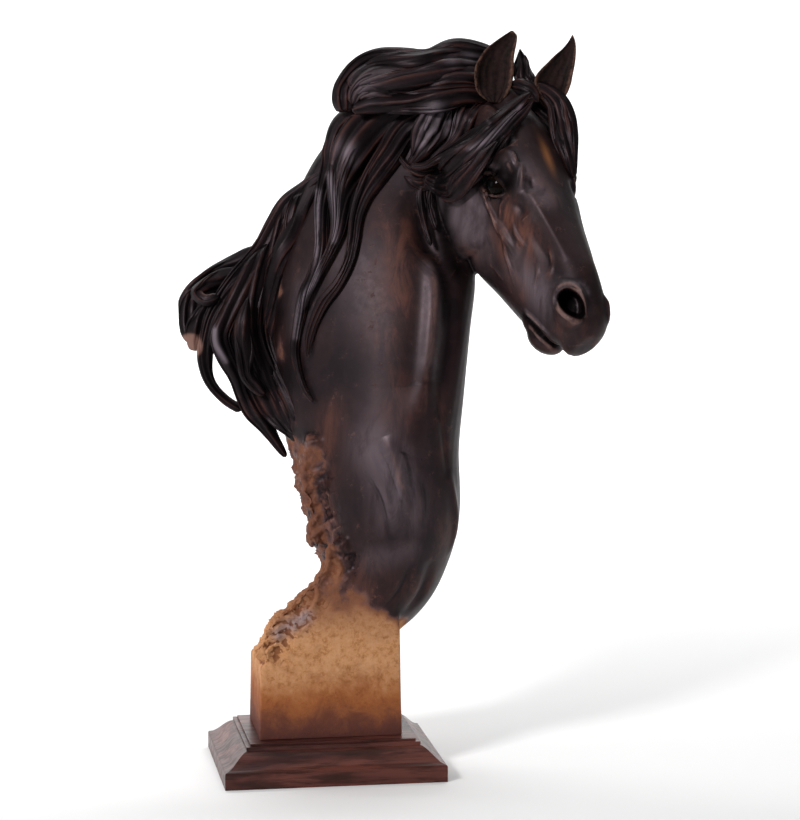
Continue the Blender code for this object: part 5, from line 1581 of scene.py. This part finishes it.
def stone_colour(p, place, worn, bloom_and_sheen):
    """Sand: finely mottled, darker in its pits, then orange, brown and dark red towards the plinth."""
    mottle = p.noise(place, 260, 7, 0.72, 0.2)
    blots = p.noise(place, 60, 6, 0.70, 0.4)
    grit = p.noise(place, 620, 4, 0.7)
    level = p.plus(p.mark("height"), p.ramp(blots, 0.2, 0.8, -0.04, 0.04))
    stone = p.layered(
        p.mix(p.ramp(mottle, 0.34, 0.66), SAND, SAND_PALE),
        # the lower half turns orange and brown, then red, on a ragged line
        (level, 0.26, 0.11, 0.95, SAND_ORANGE),
        (level, 0.145, 0.015, 0.95, FOOT_RED),
        # towards the horse it turns brown, then dark
        (level, 0.31, 0.50, 0.85, BREAK_BROWN),
        (level, 0.54, 0.74, 0.95, BREAK_DARK),
    )
    # lilac where the grey bloom and painted sheen lie
    return p.layered(
        p.mix(bloom_and_sheen, stone, LILAC),
        (blots, 0.50, 0.34, 0.22, SAND_DARK),
        (mottle, 0.48, 0.34, 0.35, SAND_DARK),
        (grit, 0.58, 0.76, 0.40, SAND_DARK),
        (worn, 0.44, 0.22, 0.75, SAND_DARK),
    )


def hair_paint():
    """Near black paint on the locks with painted highlights, browner ridges as painted sheen, valleys
    darkened as painted shade, and fine hairs drawn along them.
    """
    p = Paint("hair_paint")
    tone, strand = p.mark("tone"), p.mark("strand", "Vector")
    hairs = p.noise(p.stretched(strand, (1.9, 0.07, 1.0)), 1.0, 5, 0.6)
    cloud = p.noise(p.place(), 30, 5, 0.6, 0.5)
    colour = p.mix(p.ramp(cloud, 0.40, 0.66), HAIR_BLACK, HAIR_UMBER)
    # painted sheen: browner on the crests
    ridge = p.times(p.ramp(tone, 0.55, 1.0), p.ramp(cloud, 0.42, 0.62))
    colour = p.mix(p.times(ridge, 0.35), colour, RUST)
    colour = p.mix(p.ramp(tone, 0.45, 0.05, 0.0, 0.9), colour, HAIR_SHADOW)
    broken = p.times(p.mark("broken"), p.ramp(cloud, 0.2, 0.5, 0.3, 1.0))
    colour = p.mix(broken, colour, BREAK_PINK)
    # painted highlights where the light catches the hair, most on the crests
    painted_highlight = p.times(p.mark("painted_highlight"), p.ramp(tone, 0.15, 0.80, 0.1, 1.0))
    colour = p.mix(painted_highlight, colour, HAIR_HIGHLIGHT)
    bumps = p.relief(hairs, 0.0004, 0.4)
    rough = p.ramp(hairs, 0.3, 0.7, 0.32, 0.44)
    return p.finish(colour, rough, bumps, Specular_IOR_Level=0.14, Specular_Tint=SHEEN)


def ear_paint():
    """Brown ears mottled along their fibres, tan along the rim and at the tip."""
    p = Paint("ear_paint")
    place = p.place()
    fibres = p.noise(p.stretched(place, (1.0, 1.0, 0.22)), 240, 5, 0.65)
    fuzz = p.noise(place, 420, 5, 0.7)
    colour = p.mix(p.ramp(fibres, 0.35, 0.65), HAIR_BLACK, UMBER)
    tan = p.times(p.ramp(p.mark("rim"), 0.2, 1.0, 0.12, 1.0), p.ramp(fuzz, 0.30, 0.66))
    colour = p.mix(tan, colour, EAR_TAN)
    bumps = p.relief(fuzz, 0.0005, 0.5)
    return p.finish(colour, p.ramp(fibres, 0.3, 0.7, 0.55, 0.7), bumps, Specular_IOR_Level=0.08)


def eye_paint():
    """A dark brown iris round a black pupil under a wet glaze."""
    p = Paint("eye_paint")
    place = p.place()
    colour = p.mix(p.ramp(p.noise(place, 300, 3), 0.3, 0.7), IRIS_DARK, IRIS_BROWN)
    colour = p.mix(p.ramp(p.mark("iris"), 0.40, 0.30), colour, PUPIL)
    rough = p.ramp(p.noise(place, 200, 2), 0.3, 0.7, 0.10, 0.14)
    return p.finish(colour, rough, Specular_IOR_Level=0.05)


def wood_paint():
    """Dark red-brown polished wood, its grain along the plinth, under a clear gloss."""
    p = Paint("wood_paint")
    place = p.place()
    grain = p.noise(p.stretched(place, (0.10, 1.0, 1.0)), 260, 6, 0.62, 0.35)
    bands = p.noise(p.stretched(place, (0.16, 1.0, 1.0)), 46, 4, 0.6, 1.2)
    pores = p.noise(p.stretched(place, (0.05, 1.0, 1.0)), 900, 3, 0.6)
    veins = ((grain, 0.44, 0.64, 0.7, WOOD_GRAIN), (pores, 0.60, 0.72, 0.6, WOOD_PORES))
    colour = p.layered(p.mix(p.ramp(bands, 0.34, 0.66), WOOD_DARK, WOOD_RED), *veins)
    bumps = p.relief(grain, 0.00012, 0.35)
    bumps = p.relief(p.noise(place, 38, 3), 0.0004, 0.18, bumps)
    gloss = {"Coat_Weight": 0.08, "Coat_Roughness": 0.16, "Specular_IOR_Level": 0.14}
    return p.finish(colour, p.ramp(grain, 0.3, 0.7, 0.30, 0.42), bumps, **gloss)


def backdrop_paint():
    p = Paint("backdrop_paint")
    return p.finish(p.mix(p.noise(p.place(), 2.0, 2), BACKDROP, BACKDROP_PALE), 0.9)


# The stage: a pale floor and backdrop, soft lights and the camera.

STAGE_FRONT, STAGE_BACK = -4.0, 3.2
STAGE_SIDE = 6.0
STAGE_TOP = 3.0
STAGE_BEND = 0.5
LIT_SPOT = (0.04, 0.0, 0.25)
LIGHTS = (
    # name, place, what it is aimed at, width and height, power
    ("key", (-1.3, -1.2, 1.3), LIT_SPOT, (0.35, 0.35), 28),
    ("side", (-1.7, -0.1, 0.7), LIT_SPOT, (0.7, 0.9), 2),
    ("fill", (1.4, -1.2, 0.8), LIT_SPOT, (0.6, 0.6), 2),
    ("top", (0.1, 0.1, 1.8), LIT_SPOT, (1.2, 1.0), 4.5),
    ("backdrop_light", (0.0, 1.2, 2.3), (0.0, 3.0, 0.4), (3.6, 0.6), 130),
)
STUDIO_LIGHT = 0.16
SENSOR = 36


def stage():
    """A pale sheet that runs from the floor up behind the plinth in one curve."""
    start = STAGE_BACK - STAGE_BEND
    profile = [(STAGE_FRONT, 0.0), (start, 0.0)]
    for a in np.linspace(0, math.pi / 2, 14)[1:]:
        profile.append((start + STAGE_BEND * math.sin(a), STAGE_BEND - STAGE_BEND * math.cos(a)))
    profile.append((STAGE_BACK, STAGE_TOP))
    points = [(x, y, z - 0.1 * MM) for y, z in profile for x in (-STAGE_SIDE, STAGE_SIDE)]
    faces = [(2 * i, 2 * i + 1, 2 * i + 3, 2 * i + 2) for i in range(len(profile) - 1)]
    mesh = bpy.data.meshes.new("backdrop")
    mesh.from_pydata(points, [], faces)
    mesh.shade_smooth()
    mesh.materials.append(backdrop_paint())
    obj = bpy.data.objects.new("backdrop", mesh)
    bpy.context.scene.collection.objects.link(obj)


def aimed(name, data, place, way):
    """A lamp or camera at a place, turned to look along a vector."""
    obj = bpy.data.objects.new(name, data)
    obj.location = place
    obj.rotation_euler = way.to_track_quat("-Z", "Y").to_euler()
    bpy.context.scene.collection.objects.link(obj)
    return obj


def lights():
    for name, place, aim, size, power in LIGHTS:
        data = bpy.data.lights.new(name, "AREA")
        data.shape = "RECTANGLE"
        data.size, data.size_y = size
        data.energy = power
        aimed(name, data, place, Vector(aim) - Vector(place))
    world = bpy.data.worlds.new("studio")
    world.use_nodes = True
    world.node_tree.nodes["Background"].inputs["Color"].default_value = rgb(1.0, 1.0, 1.0)
    world.node_tree.nodes["Background"].inputs["Strength"].default_value = STUDIO_LIGHT
    bpy.context.scene.world = world
    bpy.context.scene.view_settings.view_transform = "Standard"


def camera():
    """The viewpoint that the hair's grid is set out from."""
    data = bpy.data.cameras.new("camera")
    data.sensor_width = SENSOR
    data.lens = GRID * SENSOR / GRID_ROWS
    eye = viewpoint()
    bpy.context.scene.camera = aimed("camera", data, eye, Vector(placed(VIEW_AIM) - eye))


# Pieces


def piece(name, mesh, paint, node):
    obj = bpy.data.objects.new(name, mesh)
    mesh.materials.clear()
    mesh.materials.append(paint)
    bpy.context.scene.collection.objects.link(obj)
    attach(obj, "root")
    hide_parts(node)


def main():
    casting, tree = casting_mesh()
    piece("bust", casting, bust_paint(), "horse_bust")
    hair = hair_paint()
    for name, mesh in hair_meshes(tree):
        piece(name, kept_inside(mesh), hair, "horse_bust")
    ears = ear_paint()
    for side, row in zip(("near", "far"), EARS):
        piece(f"ear_{side}", kept_inside(ear(*row)), ears, "horse_bust")
    for side, name in ((1, "near"), (-1, "far")):
        piece(f"eye_{name}", eyeball(side), eye_paint(), "horse_bust")
    piece("plinth_wood", plinth_mesh(), wood_paint(), "plinth")
    stage()
    lights()
    camera()


main()
